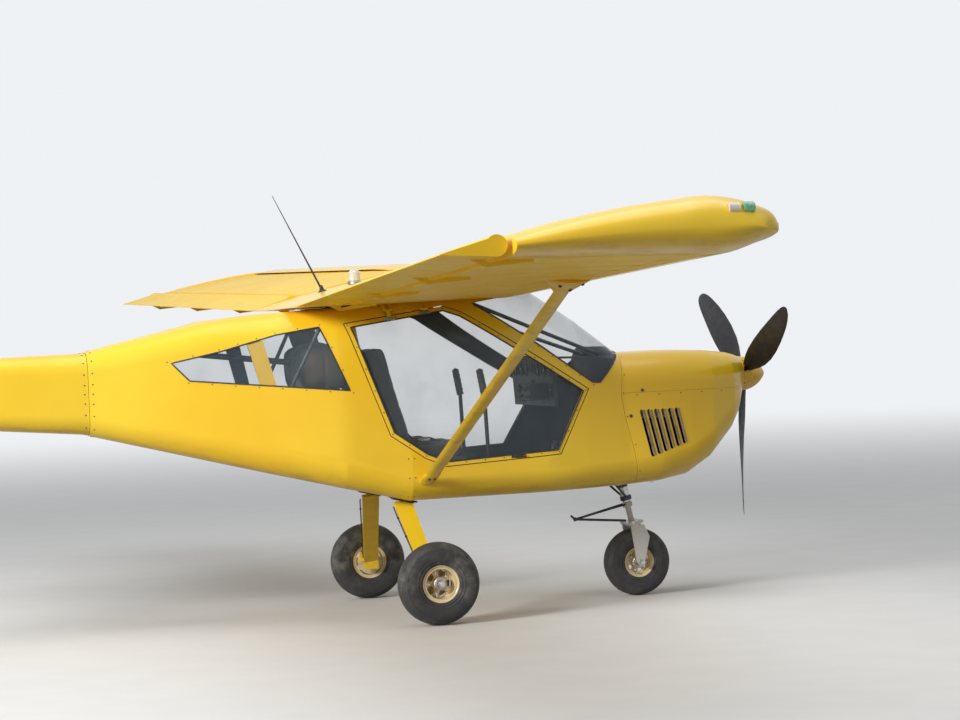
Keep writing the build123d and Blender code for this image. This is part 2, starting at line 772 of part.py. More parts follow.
def rim_of(y, width, rim, disc):
    bore = axle_radius + running_gap
    well = rim - 16
    seat = rim - 6.2
    edge = width / 2 - 18
    hub = 34
    with BuildPart() as wheel:
        with BuildSketch(Plane.XY):
            with BuildLine():
                Polyline(
                    (bore, y - hub_half), (hub, y - hub_half), (hub, y - 8), (well, y - 8),
                    (well, y - edge), (seat, y - edge), (seat, y + edge),
                    (well, y + edge), (well, y + 8), (hub, y + 8), (hub, y + hub_half),
                    (bore, y + hub_half), close=True,
                )
            make_face()
        revolve(axis=Axis.Y)
        if disc:
            with BuildSketch(Plane.XY):
                with Locations(((bore + hub) / 2, y - disc_inner / 2 - 10)):
                    Rectangle(hub - bore, disc_inner - 20)
                with Locations(((bore + disc_radius) / 2, y - disc_inner - disc_thick / 2)):
                    Rectangle(disc_radius - bore, disc_thick)
                with Locations(((bore + hub) / 2, y - disc_inner + 5)):
                    Rectangle(hub - bore, 20)
            revolve(axis=Axis.Y)
        with BuildSketch(Plane.XZ.offset(-y - 20)):
            with PolarLocations((hub + well) / 2, 5):
                Circle((well - hub) / 2 - 4)
        extrude(amount=40, mode=Mode.SUBTRACT)
    return wheel.part


main_place = Location((main_x, 0, main_radius))
main_tyre = tyre_of(main_y, main_radius, main_width, main_rim_radius).moved(main_place)
main_rim = rim_of(main_y, main_width, main_rim_radius, True).moved(main_place)
save(main_tyre, "main_left_tyre")
save(main_rim, "main_left_rim")
save(mirrored(main_tyre), "main_right_tyre")
save(mirrored(main_rim), "main_right_rim")
nose_place = Location((nose_x, 0, nose_radius))
save(tyre_of(0, nose_radius, nose_width, nose_rim_radius).moved(nose_place), "nose_tyre")
save(rim_of(0, nose_width, nose_rim_radius, False).moved(nose_place), "nose_rim")

# Nose leg: a fixed tube, and a steered fork on the same raked line
crown_z = 2 * nose_radius + tyre_gap + 24
crown_along = (steer_top.Z - crown_z) / -steer_dir.Z
crown = steer_top + steer_dir * crown_along
plate_in = nose_width / 2 + tyre_gap


def steer_plane(along):
    return Plane(origin=steer_top + steer_dir * along, x_dir=(0, 1, 0), z_dir=steer_dir)


with BuildPart() as nose_leg:
    with BuildSketch(steer_plane(-20)):
        Circle(leg_tube_radius)
    extrude(amount=140)
    add(hull_outer, mode=Mode.SUBTRACT)
    with BuildSketch(steer_plane(40)):
        Circle(fork_shaft_radius + running_gap)
    extrude(amount=140, mode=Mode.SUBTRACT)
save(nose_leg.part, "nose_leg")
fork_outline = [
    (crown.X - 36, crown_z + 8), (crown.X + 46, crown_z - 14), (nose_x + 58, nose_radius + 146),
    (nose_x + 22, nose_radius - 4), (nose_x, nose_radius - 24), (nose_x - 22, nose_radius - 4),
    (crown.X - 32, crown_z - 22),
]
with BuildPart() as nose_fork:
    with BuildSketch(steer_plane(50)):
        Circle(fork_shaft_radius)
    extrude(amount=crown_along - 50)
    with BuildSketch(steer_plane(124)):
        Circle(leg_tube_radius + 5)
    extrude(amount=26)
    with BuildSketch(steer_plane(crown_along - crown_thick / 2)):
        Rectangle(2 * plate_in + 2 * fork_plate, 84)
    extrude(amount=crown_thick)
    add(plate(fork_outline, plate_in, plate_in + fork_plate))
    add(plate(fork_outline, -plate_in - fork_plate, -plate_in))
    axle_end = plate_in + fork_plate + 14
    add(rod((nose_x, -axle_end, nose_radius), (nose_x, axle_end, nose_radius), axle_radius))
save(nose_fork.part, "nose_fork")

# Link behind the fork: two thin arms that meet at a hook
link_upper = steer_top + steer_dir * 137
link_apex = (1925, 0, 456)
with BuildPart() as nose_link:
    for side in (-1, 1):
        add(rod((link_upper.X - 20, side * 20, link_upper.Z), link_apex, 6))
    add(rod((crown.X - 36, 0, crown.Z + 10), link_apex, 7))
    with Locations(link_apex):
        Sphere(12)
    add(rod(link_apex, (1900, 0, 478), 6))
    add(nose_fork.part, mode=Mode.SUBTRACT)
save(nose_link.part.solids().sort_by(SortBy.VOLUME)[-1], "nose_link")

# Seats, the bag behind them, and the floor with its plinth under the seats
seat_outline = [(760, 832), (1180, 872), (1186, 968), (1160, 976), (884, 948), (724, 1520), (604, 1502)]
with BuildPart() as seat:
    with BuildSketch(Plane.XZ.offset(seat_y - seat_width / 2)):
        with BuildLine():
            Polyline(*seat_outline, close=True)
        make_face()
    extrude(amount=seat_width)
    fillet(seat.edges().filter_by(Axis.Y), 18)
save(seat.part, "seat_right")
save(mirrored(seat.part), "seat_left")
with BuildPart() as cabin_floor:
    add(block(790, firewall_x - 2, -560, 560, floor_z, floor_z + floor_thick))
    add(plate([(780, floor_z), (1165, floor_z), (1165, 870), (780, 834)], -490, 490))
    add(seat.part, mode=Mode.SUBTRACT)
    add(mirrored(seat.part), mode=Mode.SUBTRACT)
    add(hull_inner, mode=Mode.INTERSECT)
save(cabin_floor.part, "cabin_floor")
with BuildPart() as rear_shelf:
    add(block(250, 598, -560, 560, shelf_z, shelf_z + 8))
    add(hull_inner, mode=Mode.INTERSECT)
save(rear_shelf.part, "rear_shelf")
with BuildPart() as rear_bag:
    add(block(300, 590, -300, 300, shelf_z + 8 + touch_gap, 1560))
    fillet(rear_bag.edges().filter_by(Axis.Y), 50)
save(rear_bag.part, "rear_bag")

# Instrument panel with its shade and a box on its near side
panel_outline = [
    (panel_x, 1397), (firewall_x - 2, 1387), (firewall_x - 2, 1377), (panel_x + 18, 1386),
    (panel_x + 30, 1120), (panel_x + 16, 1120),
]
with BuildPart() as instrument_panel:
    add(plate(panel_outline, -420, 420))
    add(block(1609, panel_x + 20, -290, -110, 1158, 1248))
    add(hull_inner, mode=Mode.INTERSECT)
save(instrument_panel.part, "instrument_panel")

# Control sticks and rudder pedals
floor_top = floor_z + floor_thick
with BuildPart() as control_sticks:
    for side in (-1, 1):
        add(rod((1360, side * seat_y, floor_top), (1345, side * seat_y, 1200), 11))
        add(rod((1345, side * seat_y, 1200), (1322, side * seat_y, 1337), 18))
    add(cabin_floor.part, mode=Mode.SUBTRACT)
save(control_sticks.part, "control_sticks")
with BuildPart() as pedals:
    for y in (-340, -180, 180, 340):
        add(plate([(1880, floor_top), (1892, floor_top), (1912, 860), (1960, 850), (1960, 862), (1900, 874)], y, y + 14))
        add(plate([(1896, 800), (1906, 800), (1922, 900), (1912, 900)], y - 28, y + 42))
save(pedals.part, "pedals")

# Tubes seen through the glass, and a post inside each rear window
with BuildPart() as cabin_tubes:
    for side in (-1, 1):
        add(rod((1274, side * 350, 1710), (2090, side * 148, 1383), 11))
        add(rod((400, side * 440, 1627), (228, side * 400, 1291), 11))
    add(rod((-330, 0, 1505), (560, 0, 1393), 17))
    add(hull_inner, mode=Mode.INTERSECT)
    add(instrument_panel.part, mode=Mode.SUBTRACT)
    add(rear_bag.part, mode=Mode.SUBTRACT)
    add(block(firewall_x - 2, 2300, -600, 600, 1000, 1800), mode=Mode.SUBTRACT)
save(cabin_tubes.part, "cabin_tubes")
post_thick = 14
with BuildPart() as window_posts:
    add(hull_inner)
    add(lofted(hull_table, shell + post_thick), mode=Mode.SUBTRACT)
    add(side_block([(-4, 1552), (84, 1552), (146, 1296), (64, 1296)]), mode=Mode.INTERSECT)
save(window_posts.part, "window_posts")
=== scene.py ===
"""Looks of a two-seat microlight aircraft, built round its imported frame.

The file is laid out as an add-on and is run as a script. Lengths are in metres,
X runs forward, Y to the left wing tip, Z up from the floor under the wheels.
"""

import math

import bmesh
import bpy
from mathutils import Matrix, Vector
from mathutils.bvhtree import BVHTree


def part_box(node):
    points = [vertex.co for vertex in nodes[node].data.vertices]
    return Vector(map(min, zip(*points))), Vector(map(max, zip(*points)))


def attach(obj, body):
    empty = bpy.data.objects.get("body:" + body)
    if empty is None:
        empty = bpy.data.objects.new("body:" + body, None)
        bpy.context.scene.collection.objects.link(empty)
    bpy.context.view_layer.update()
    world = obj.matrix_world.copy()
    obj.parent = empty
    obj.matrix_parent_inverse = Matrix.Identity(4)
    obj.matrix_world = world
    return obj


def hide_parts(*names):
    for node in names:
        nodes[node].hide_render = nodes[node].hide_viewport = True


bl_info = {
    "name": "Microlight aircraft",
    "version": (1, 0, 0),
    "blender": (4, 5, 0),
    "location": "3D View > Sidebar > Aircraft",
    "description": "Builds the fittings, soft goods and finishes of a microlight aircraft",
    "category": "Object",
}

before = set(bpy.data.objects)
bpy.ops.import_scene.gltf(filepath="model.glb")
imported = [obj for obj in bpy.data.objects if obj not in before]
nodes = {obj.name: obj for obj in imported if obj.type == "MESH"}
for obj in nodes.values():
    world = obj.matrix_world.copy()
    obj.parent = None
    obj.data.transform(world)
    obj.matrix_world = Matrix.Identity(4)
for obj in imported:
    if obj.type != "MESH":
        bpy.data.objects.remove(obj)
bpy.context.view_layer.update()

MM = 0.001
CLOTH_FRAMES = 20
SIDES = (("right", -1), ("left", 1))
X_AXIS = Vector((1, 0, 0))
Y_AXIS = Vector((0, 1, 0))
Z_AXIS = Vector((0, 0, 1))

# Outlines in side view, as x and z in millimetres
DOOR_GLASS = (
    (549, 1604), (751, 1025), (925, 902), (1035, 855), (1673, 888), (1847, 1203),
    (1155, 1643), (1068, 1675), (800, 1638),
)
REAR_GLASS = ((-400, 1449), (-310, 1351), (521, 1265), (381, 1612), (154, 1579), (-146, 1500))
SCREEN_EDGE = ((1252, 1703), (1911, 1247), (1958, 1246), (2098, 1394))
SHELL_SEAM = ((834, 672), (834, 985))
REAR_SEAM = ((706, 1290), (610, 1500), (566, 1612))
COWL_SEAM = ((2119, 1380), (2087, 1178), (2103, 1046), (2141, 888), (2163, 740))
SEAT_BASE = ((790, 850), (1172, 884), (1178, 958), (1156, 966), (892, 940), (800, 930))
SEAT_BACK = ((880, 950), (730, 1508), (616, 1491), (762, 935))
THRUST_Z = 1.248
BLADE_ANGLE = 173.5
MAIN_AXLE_X = 0.89
MAIN_AXLE_Z = 0.222
STICK_X = 1.345
STICK_TOP_Z = 1.200
SEAT_Y = 0.27
PHOTO_EYE = (-2.5916, -15.0235, 1.5495)
PHOTO_FORWARD = Vector((0.25677, 0.96642, -0.01010))
PHOTO_RIGHT = Vector((0.96555, -0.25696, -0.04091))
STRUT_FOOT = Vector((0.913, -0.604, 0.745))
STRUT_TOP = Vector((1.180, -2.600, 1.800))
WHEELS = (
    # Nodes of tyre and rim, body, radius at the bead, bolt circle, sides with bolts, length of the valve
    ("main_right_tyre", "main_right_rim", "wheel_right", 0.091, 0.0575, (-1,), 0.031),
    ("main_left_tyre", "main_left_rim", "wheel_left", 0.091, 0.0575, (1,), 0.031),
    ("nose_tyre", "nose_rim", "wheel_nose", 0.078, 0.051, (-1, 1), 0.020),
)
LOUVRE_COUNT = 6
LOUVRE_FIRST = Vector((2.230, 0, 0.948))
LOUVRE_STEP = Vector((0.0414, 0, 0.0064))
LOUVRE_LEAN = math.radians(102)
WING_LEAD = Vector((1.640, 0.630, 1.824))
WING_CHORD = 1.411
WING_SWEEP = 0.0545
WING_REAR = 0.79
WING_RISE = 0.0214
WING_ROOT_TWIST = 0.070
WING_TIP_TWIST = 0.039
TIP_JOIN_Y = 4.562
WING_TIP_Y = 4.775
STEER_TOP = Vector((2.213, 0, 0.660))
STEER_DIR = Vector((0.2124, 0, -0.9772)).normalized()


# Sizes and colours


class AircraftPaint(bpy.types.PropertyGroup):
    """Colours of the aircraft's finishes."""

    body: bpy.props.FloatVectorProperty(
        name="Body", description="Paint of body, wing and tail", subtype="COLOR",
        default=(0.950, 0.580, 0.014), min=0, max=1)
    body_pale: bpy.props.FloatVectorProperty(
        name="Body, bleached", description="Paint where sun has bleached it", subtype="COLOR",
        default=(0.965, 0.650, 0.026), min=0, max=1)
    rim: bpy.props.FloatVectorProperty(
        name="Wheel", description="Cream paint of the wheels", subtype="COLOR",
        default=(0.850, 0.700, 0.400), min=0, max=1)
    fork: bpy.props.FloatVectorProperty(
        name="Fork", description="White paint of the fork plates", subtype="COLOR",
        default=(0.720, 0.710, 0.660), min=0, max=1)
    rubber: bpy.props.FloatVectorProperty(
        name="Tyre", description="Tyre rubber", subtype="COLOR",
        default=(0.042, 0.041, 0.043), min=0, max=1)
    glass: bpy.props.FloatVectorProperty(
        name="Glass", description="Tint of the windows", subtype="COLOR",
        default=(0.230, 0.310, 0.370), min=0, max=1)
    seat: bpy.props.FloatVectorProperty(
        name="Seat", description="Seat fabric", subtype="COLOR",
        default=(0.060, 0.058, 0.062), min=0, max=1)
    bag: bpy.props.FloatVectorProperty(
        name="Bag", description="Fabric of the bag behind the seats", subtype="COLOR",
        default=(0.150, 0.105, 0.070), min=0, max=1)


class AircraftSizes(bpy.types.PropertyGroup):
    """Sizes of the small fittings."""

    seal_width: bpy.props.FloatProperty(
        name="Seal width", description="Width of the rubber seals round the windows",
        default=0.008, min=0.002, max=0.03, unit="LENGTH")
    screw_radius: bpy.props.FloatProperty(
        name="Screw radius", description="Radius of the panel screws' heads",
        default=0.0036, min=0.001, max=0.02, unit="LENGTH")
    rib_pitch: bpy.props.FloatProperty(
        name="Rib pitch", description="Distance between the wing's rib tapes",
        default=0.385, min=0.1, max=1, unit="LENGTH")
    tape_width: bpy.props.FloatProperty(
        name="Tape width", description="Width of the rib tapes",
        default=0.028, min=0.005, max=0.1, unit="LENGTH")
    belt_width: bpy.props.FloatProperty(
        name="Belt width", description="Width of the harness webbing",
        default=0.045, min=0.02, max=0.08, unit="LENGTH")
    groove_depth: bpy.props.FloatProperty(
        name="Tread groove", description="Depth of the grooves round the tyres",
        default=0.004, min=0, max=0.01, unit="LENGTH")


class AircraftStage(bpy.types.PropertyGroup):
    """Camera, floor and light."""

    lens: bpy.props.FloatProperty(
        name="Lens", description="Focal length of the camera in millimetres",
        default=102.64, min=10, max=400)
    key_power: bpy.props.FloatProperty(
        name="Key lamp", description="Power of the large soft lamp", default=2250, min=0, unit="POWER")
    top_power: bpy.props.FloatProperty(
        name="Top lamp", description="Power of the overhead lamp", default=360, min=0, unit="POWER")
    fill: bpy.props.FloatProperty(
        name="Fill", description="Strength of the light from all round", default=0.30, min=0)
    floor: bpy.props.FloatVectorProperty(
        name="Floor", description="Colour of the floor", subtype="COLOR",
        default=(0.80, 0.80, 0.79), min=0, max=1)
    bounce: bpy.props.FloatVectorProperty(
        name="Bounce", description="Colour with which the floor lights the aircraft", subtype="COLOR",
        default=(0.27, 0.26, 0.25), min=0, max=1)
    backdrop: bpy.props.FloatVectorProperty(
        name="Backdrop", description="Colour behind the aircraft", subtype="COLOR",
        default=(0.86, 0.88, 0.90), min=0, max=1)


# Finishes: each is a tree of nodes round one shader


class Finish:
    """A material under construction, with its nodes and links."""

    def __init__(self, name):
        self.material = bpy.data.materials.new(name)
        self.material.use_nodes = True
        self.tree = self.material.node_tree
        self.shader = self.tree.nodes["Principled BSDF"]
        self.output = self.tree.nodes["Material Output"]
        self.place = self.node("TexCoord").outputs["Object"]

    def node(self, kind, settings=(), **inputs):
        """A shader node of that kind. Inputs go by name, or as n0, n1 and so on by number."""
        made = self.tree.nodes.new("ShaderNode" + kind)
        for key, value in dict(settings).items():
            setattr(made, key, value)
        for key, value in inputs.items():
            self.feed(made, key, value)
        return made

    def feed(self, node, key, value):
        numbered = key[0] == "n" and key[1:].isdigit()
        socket = node.inputs[int(key[1:]) if numbered else key.replace("_", " ")]
        if isinstance(value, bpy.types.NodeSocket):
            self.tree.links.new(value, socket)
        else:
            socket.default_value = value

    def set(self, **inputs):
        for key, value in inputs.items():
            self.feed(self.shader, key, value)

    def noise(self, scale, detail=3, roughness=0.5, stretch=None):
        where = self.place
        if stretch:
            where = self.node("Mapping", Vector=where, Scale=stretch).outputs["Vector"]
        made = self.node("TexNoise", Vector=where, Scale=scale, Detail=detail, Roughness=roughness)
        return made.outputs["Fac"]

    def weave(self, threads):
        """Three crossed sets of threads, as a height from 0 to 1."""
        rows = [self.ridges(way, threads) for way in ("X", "DIAGONAL", "Z")]
        return self.math("MAXIMUM", self.math("MAXIMUM", rows[0], rows[1]), rows[2])

    def ridges(self, way, scale):
        made = self.node("TexWave", {"bands_direction": way}, Vector=self.place, Scale=scale)
        return made.outputs["Fac"]

    def math(self, kind, first, second):
        return self.node("Math", {"operation": kind}, n0=first, n1=second).outputs[0]

    def vector(self, kind, output, **inputs):
        return self.node("VectorMath", {"operation": kind}, **inputs).outputs[output]

    def spread(self, value, low, high, to_low=0.0, to_high=1.0):
        made = self.node("MapRange", {"interpolation_type": "SMOOTHSTEP"})
        for key, number in zip(("n0", "n1", "n2", "n3", "n4"), (value, low, high, to_low, to_high)):
            self.feed(made, key, number)
        return made.outputs[0]

    def blend(self, factor, first, second):
        made = self.node("Mix", {"data_type": "RGBA"})
        for key, value in (("n0", factor), ("n6", first), ("n7", second)):
            coloured = key != "n0" and not isinstance(value, bpy.types.NodeSocket)
            self.feed(made, key, rgba(value) if coloured else value)
        return made.outputs[2]

    def rough(self, scale, detail, low, high, stretch=None):
        """Roughness that drifts between two values."""
        self.set(Roughness=self.spread(self.noise(scale, detail, stretch=stretch), 0.3, 0.7, low, high))

    def grain(self, scale, detail, distance, strength, below=None):
        """An even grain of fine bumps."""
        self.set(Normal=self.bump(self.noise(scale, detail), distance, strength, below))

    def bump(self, height, distance, strength, below=None):
        made = self.node("Bump", Height=height, Distance=distance, Strength=strength)
        if below is not None:
            self.feed(made, "Normal", below)
        return made.outputs["Normal"]

    def normal_z(self):
        normal = self.node("NewGeometry").outputs["Normal"]
        return self.node("SeparateXYZ", Vector=normal).outputs["Z"]

    def place_parts(self):
        return self.node("SeparateXYZ", Vector=self.place).outputs


finishes = {}


def finish(name):
    """The material of that name, made once."""
    if name not in finishes:
        finishes[name] = MAKERS[name](bpy.context.scene.aircraft_paint)
    return finishes[name]


def rgba(colour):
    return (*colour, 1)


def yellow_coat(made, paint):
    """The body's yellow, with bleached patches, patches of darker brown on the faces that look down, and fine
    specks.
    """
    patch = made.spread(made.noise(1.1, 3), 0.3, 0.7)
    colour = made.blend(patch, paint.body, paint.body_pale)
    # Patches of darker brown on the faces that look down.
    brown_cloud = made.noise(14, 8, 0.65, stretch=(0.35, 1, 1))
    facing_down = made.spread(made.normal_z(), -0.2, -0.95)
    low = made.math("MULTIPLY", made.spread(brown_cloud, 0.42, 0.74), made.math("MULTIPLY", facing_down, 0.4))
    colour = made.blend(low, colour, (0.30, 0.17, 0.03))
    specks = made.math("MULTIPLY", made.spread(made.noise(75, 6, 0.7), 0.66, 0.74), 0.3)
    return made.blend(specks, colour, (0.50, 0.25, 0.02))


def gloss_paint(paint):
    made = Finish("gloss_yellow")
    made.set(Base_Color=yellow_coat(made, paint))
    made.rough(9, 5, 0.28, 0.4)
    waves = made.bump(made.noise(2.6, 2), 0.0022, 0.3)
    made.grain(420, 2, 0.00012, 0.5, waves)
    made.set(Coat_Weight=0.3, Coat_Roughness=0.08, Specular_IOR_Level=0.4)
    return made.material


def paint_with_inner_shade(paint):
    """Yellow outside, and a painted shade in dark blue-grey on the faces that look in towards the cabin's
    middle line, standing in for the shade inside the cabin.
    """
    made = Finish("yellow_with_painted_inner_shade")
    away = made.vector("SUBTRACT", 0, n0=made.place, n1=(0, 0, 1.15))
    away = made.vector("MULTIPLY", 0, n0=away, n1=(0, 1, 1))
    facing = made.node("TexCoord").outputs["Normal"]
    # Mask of the faces that look in towards the middle line, which get the painted shade of the cabin's
    # inside.
    inner_shade_mask = made.spread(made.vector("DOT_PRODUCT", "Value", n0=away, n1=facing), -0.04, -0.09)
    inner_shade_mottle = made.noise(160, 5, 0.7)
    # Painted shade: a mottled dark blue-grey for the cabin's shaded inside. These faces are also made matt.
    painted_inner_shade = made.blend(made.spread(inner_shade_mottle, 0.35, 0.7), (0.040, 0.052, 0.078), (0.070, 0.086, 0.118))
    made.set(Base_Color=made.blend(inner_shade_mask, yellow_coat(made, paint), painted_inner_shade))
    shine = made.spread(made.noise(9, 5), 0.3, 0.7, 0.28, 0.4)
    made.set(Roughness=made.math("MAXIMUM", shine, made.math("MULTIPLY", inner_shade_mask, 0.85)))
    waves = made.bump(made.noise(2.6, 2), 0.0022, 0.3)
    made.grain(420, 2, 0.00012, 0.5, waves)
    made.set(Coat_Weight=0.25, Coat_Roughness=0.08, Specular_IOR_Level=0.4)
    return made.material


def cloth_paint(paint):
    """Dope on stretched fabric: a satin yellow with a fine weave and soft sags."""
    made = Finish("doped_fabric")
    patch = made.spread(made.noise(1.2, 4), 0.3, 0.7)
    colour = made.blend(patch, paint.body, paint.body_pale)
    stain = made.spread(made.noise(5, 7, 0.6, stretch=(1, 0.3, 1)), 0.45, 0.8, 0.0, 0.15)
    made.set(Base_Color=made.blend(stain, colour, (0.50, 0.27, 0.02)))
    made.rough(11, 4, 0.4, 0.54)
    sag = made.bump(made.noise(3.2, 2, stretch=(0.5, 1, 1)), 0.003, 0.3)
    made.set(Normal=made.bump(made.weave(230), 0.00015, 0.4, sag))
    made.set(Coat_Weight=0.12, Coat_Roughness=0.2, Specular_IOR_Level=0.35)
    return made.material


def window_glass(paint):
    """Clear sheet with a faint tint and haze, which shines at a glancing look."""
    made = Finish("window_sheet")
    haze = made.spread(made.noise(3.2, 4), 0.4, 0.75, 0.0, 0.05)
    edge = made.node("LayerWeight", Blend=0.30).outputs["Facing"]
    body = made.math("MULTIPLY", made.math("POWER", edge, 2.4), 0.42)
    made.set(Base_Color=made.blend(haze, paint.glass, (0.60, 0.68, 0.72)))
    made.set(Alpha=made.math("ADD", made.math("ADD", body, haze), 0.10))
    made.set(Roughness=made.spread(made.noise(5, 3), 0.4, 0.7, 0.01, 0.05))
    made.set(Normal=made.bump(made.noise(1.6, 1), 0.002, 0.2))
    made.set(IOR=1.49, Coat_Weight=0.6, Coat_Roughness=0.02)
    return made.material


def tyre_rubber(paint):
    made = Finish("tyre_rubber")
    dust = made.spread(made.noise(16, 8, 0.6), 0.38, 0.72)
    blotch = made.spread(made.noise(4.5, 5, 0.55), 0.42, 0.66)
    amount = made.math("MULTIPLY", made.math("MULTIPLY", dust, blotch), 0.9)
    made.set(Base_Color=made.blend(amount, paint.rubber, (0.200, 0.185, 0.155)))
    made.rough(30, 4, 0.62, 0.86)
    fine = made.bump(made.noise(900, 3), 0.0003, 0.6)
    made.grain(70, 4, 0.0006, 0.4, fine)
    made.set(Sheen_Weight=0.08, Sheen_Roughness=0.5)
    return made.material


def wheel_paint(paint):
    made = Finish("wheel_cream")
    dust = made.spread(made.noise(22, 7, 0.65), 0.42, 0.75, 0.0, 0.4)
    made.set(Base_Color=made.blend(dust, paint.rim, (0.20, 0.13, 0.06)))
    made.rough(45, 4, 0.3, 0.55)
    made.grain(260, 3, 0.0002, 0.5)
    made.set(Coat_Weight=0.25, Coat_Roughness=0.15)
    return made.material


def fork_paint(paint):
    made = Finish("fork_white")
    chip = made.spread(made.noise(34, 8, 0.7), 0.60, 0.68)
    colour = made.blend(made.math("MULTIPLY", chip, 0.7), paint.fork, (0.16, 0.12, 0.08))
    smear = made.spread(made.noise(9, 5, 0.6, stretch=(1, 1, 0.3)), 0.4, 0.8, 0.0, 0.35)
    made.set(Base_Color=made.blend(smear, colour, (0.38, 0.34, 0.26)))
    made.rough(40, 4, 0.32, 0.5)
    made.grain(300, 3, 0.0002, 0.5)
    made.set(Coat_Weight=0.2, Coat_Roughness=0.2)
    return made.material


def worn_metal(name, bright, dull, rough, metallic=1.0):
    made = Finish(name)
    stain = made.spread(made.noise(28, 7, 0.6), 0.38, 0.72)
    made.set(Base_Color=made.blend(stain, bright, dull), Metallic=metallic)
    made.rough(60, 4, rough, rough + 0.18, (1, 1, 0.2))
    brushed = made.noise(700, 2, stretch=(1, 1, 0.05))
    made.set(Normal=made.bump(brushed, 0.0001, 0.5))
    return made.material


def plain_finish(name, cloud, share, first, second, rough, grain=None):
    """Two tones mixed by a cloud of noise, with a drifting roughness and an even grain."""
    made = Finish(name)
    made.set(Base_Color=made.blend(made.spread(made.noise(*cloud), *share), first, second))
    made.rough(*rough)
    if grain:
        made.grain(*grain)
    return made.material


def steel(paint):
    return worn_metal("plated_steel", (0.62, 0.62, 0.63), (0.30, 0.28, 0.26), 0.24)


def dark_steel(paint):
    return worn_metal("oiled_steel", (0.075, 0.080, 0.095), (0.030, 0.028, 0.028), 0.38, 0.6)


def cast_alloy(paint):
    return worn_metal("cast_alloy", (0.50, 0.50, 0.49), (0.22, 0.21, 0.20), 0.42)


def louvre_tan(paint):
    return plain_finish(
        "louvre_tan", (24, 6, 0.6), (0.35, 0.75, 0.0, 0.7), (0.42, 0.31, 0.16), (0.09, 0.07, 0.05),
        (50, 3, 0.45, 0.65), (300, 2, 0.0002, 0.4))


def spinner_paint(paint):
    made = Finish("spinner_satin")
    parts = made.place_parts()
    swirl = made.noise(26, 4, 0.6, stretch=(2.5, 1, 1))
    colour = made.blend(made.spread(swirl, 0.35, 0.7), paint.body, (0.78, 0.42, 0.02))
    tip = made.spread(parts["X"], 3.06, 3.112, 0.0, 0.35)
    made.set(Base_Color=made.blend(tip, colour, (0.36, 0.20, 0.03)))
    made.rough(30, 4, 0.3, 0.44)
    made.grain(240, 2, 0.0002, 0.4)
    made.set(Coat_Weight=0.35, Coat_Roughness=0.12)
    return made.material


def blade_black(paint):
    """Black composite blade, with dust rubbed into the weave."""
    made = Finish("blade_black")
    wear = made.spread(made.noise(18, 7, 0.6), 0.45, 0.75, 0.0, 0.4)
    made.set(Base_Color=made.blend(wear, (0.016, 0.017, 0.022), (0.060, 0.052, 0.050)))
    made.rough(40, 4, 0.45, 0.62)
    made.set(Normal=made.bump(made.weave(170), 0.00012, 0.3))
    made.set(Coat_Weight=0.1, Coat_Roughness=0.3, Specular_IOR_Level=0.3)
    return made.material


def dark_plastic(paint):
    return plain_finish(
        "dark_plastic", (12, 6, 0.6), (0.4, 0.75, 0.0, 0.6), (0.020, 0.021, 0.024), (0.062, 0.060, 0.058),
        (55, 3, 0.45, 0.62), (620, 2, 0.00025, 0.6))


def seal_rubber(paint):
    return plain_finish(
        "seal_rubber", (30, 5, 0.6), (0.4, 0.75, 0.0, 0.7), (0.030, 0.030, 0.032), (0.110, 0.095, 0.060),
        (80, 3, 0.55, 0.75), (500, 2, 0.0002, 0.5))


def woven(name, colour, pale, threads, fuzz):
    made = Finish(name)
    rows = made.weave(threads)
    cloud = made.spread(made.noise(8, 6, 0.6), 0.35, 0.75)
    tone = made.blend(cloud, colour, pale)
    gaps = made.spread(rows, 0.2, 0.9, 0.0, 0.5)
    made.set(Base_Color=made.blend(gaps, tone, tuple(c * 0.45 for c in colour)))
    made.rough(60, 3, 0.78, 0.95)
    soft = made.bump(made.noise(90, 4), 0.0008, 0.4)
    made.set(Normal=made.bump(rows, 0.0005, 0.8, soft))
    made.set(Sheen_Weight=fuzz, Sheen_Roughness=0.45)
    return made.material


def seat_cloth(paint):
    colour = tuple(paint.seat)
    return woven("seat_cloth", colour, tuple(c * 1.9 for c in colour), 150, 0.35)


def bag_cloth(paint):
    colour = tuple(paint.bag)
    return woven("bag_cloth", colour, tuple(c * 1.7 for c in colour), 110, 0.3)


def belt_cloth(paint):
    return woven("belt_webbing", (0.028, 0.030, 0.036), (0.070, 0.072, 0.080), 260, 0.25)


def lamp_lens(paint):
    """Ribbed lamp glass: green on the right tip, red on the left, clear behind both."""
    made = Finish("lamp_lens")
    parts = made.place_parts()
    left = made.spread(parts["Y"], -0.1, 0.1)
    colour = made.blend(left, (0.10, 0.62, 0.36), (0.75, 0.05, 0.04))
    clear = made.spread(parts["X"], 1.248, 1.240)
    facets = made.noise(90, 2)
    tint = made.blend(clear, colour, (0.86, 0.84, 0.80))
    made.set(Base_Color=made.blend(made.spread(facets, 0.4, 0.7, 0.0, 0.45), tint, (0.92, 0.95, 0.93)))
    made.set(Roughness=made.spread(facets, 0.3, 0.7, 0.06, 0.2))
    made.set(Normal=made.bump(made.weave(60), 0.0015, 0.5))
    made.set(Transmission_Weight=0.35, IOR=1.45, Coat_Weight=0.6, Coat_Roughness=0.04)
    return made.material


def beacon_lens(paint):
    made = Finish("beacon_lens")
    rings = made.ridges("Z", 42)
    made.set(Base_Color=made.blend(made.spread(rings, 0.2, 0.8), (0.80, 0.79, 0.76), (0.93, 0.93, 0.90)))
    made.rough(50, 3, 0.08, 0.22)
    made.set(Normal=made.bump(rings, 0.0012, 0.6))
    made.set(Transmission_Weight=0.4, IOR=1.45)
    return made.material


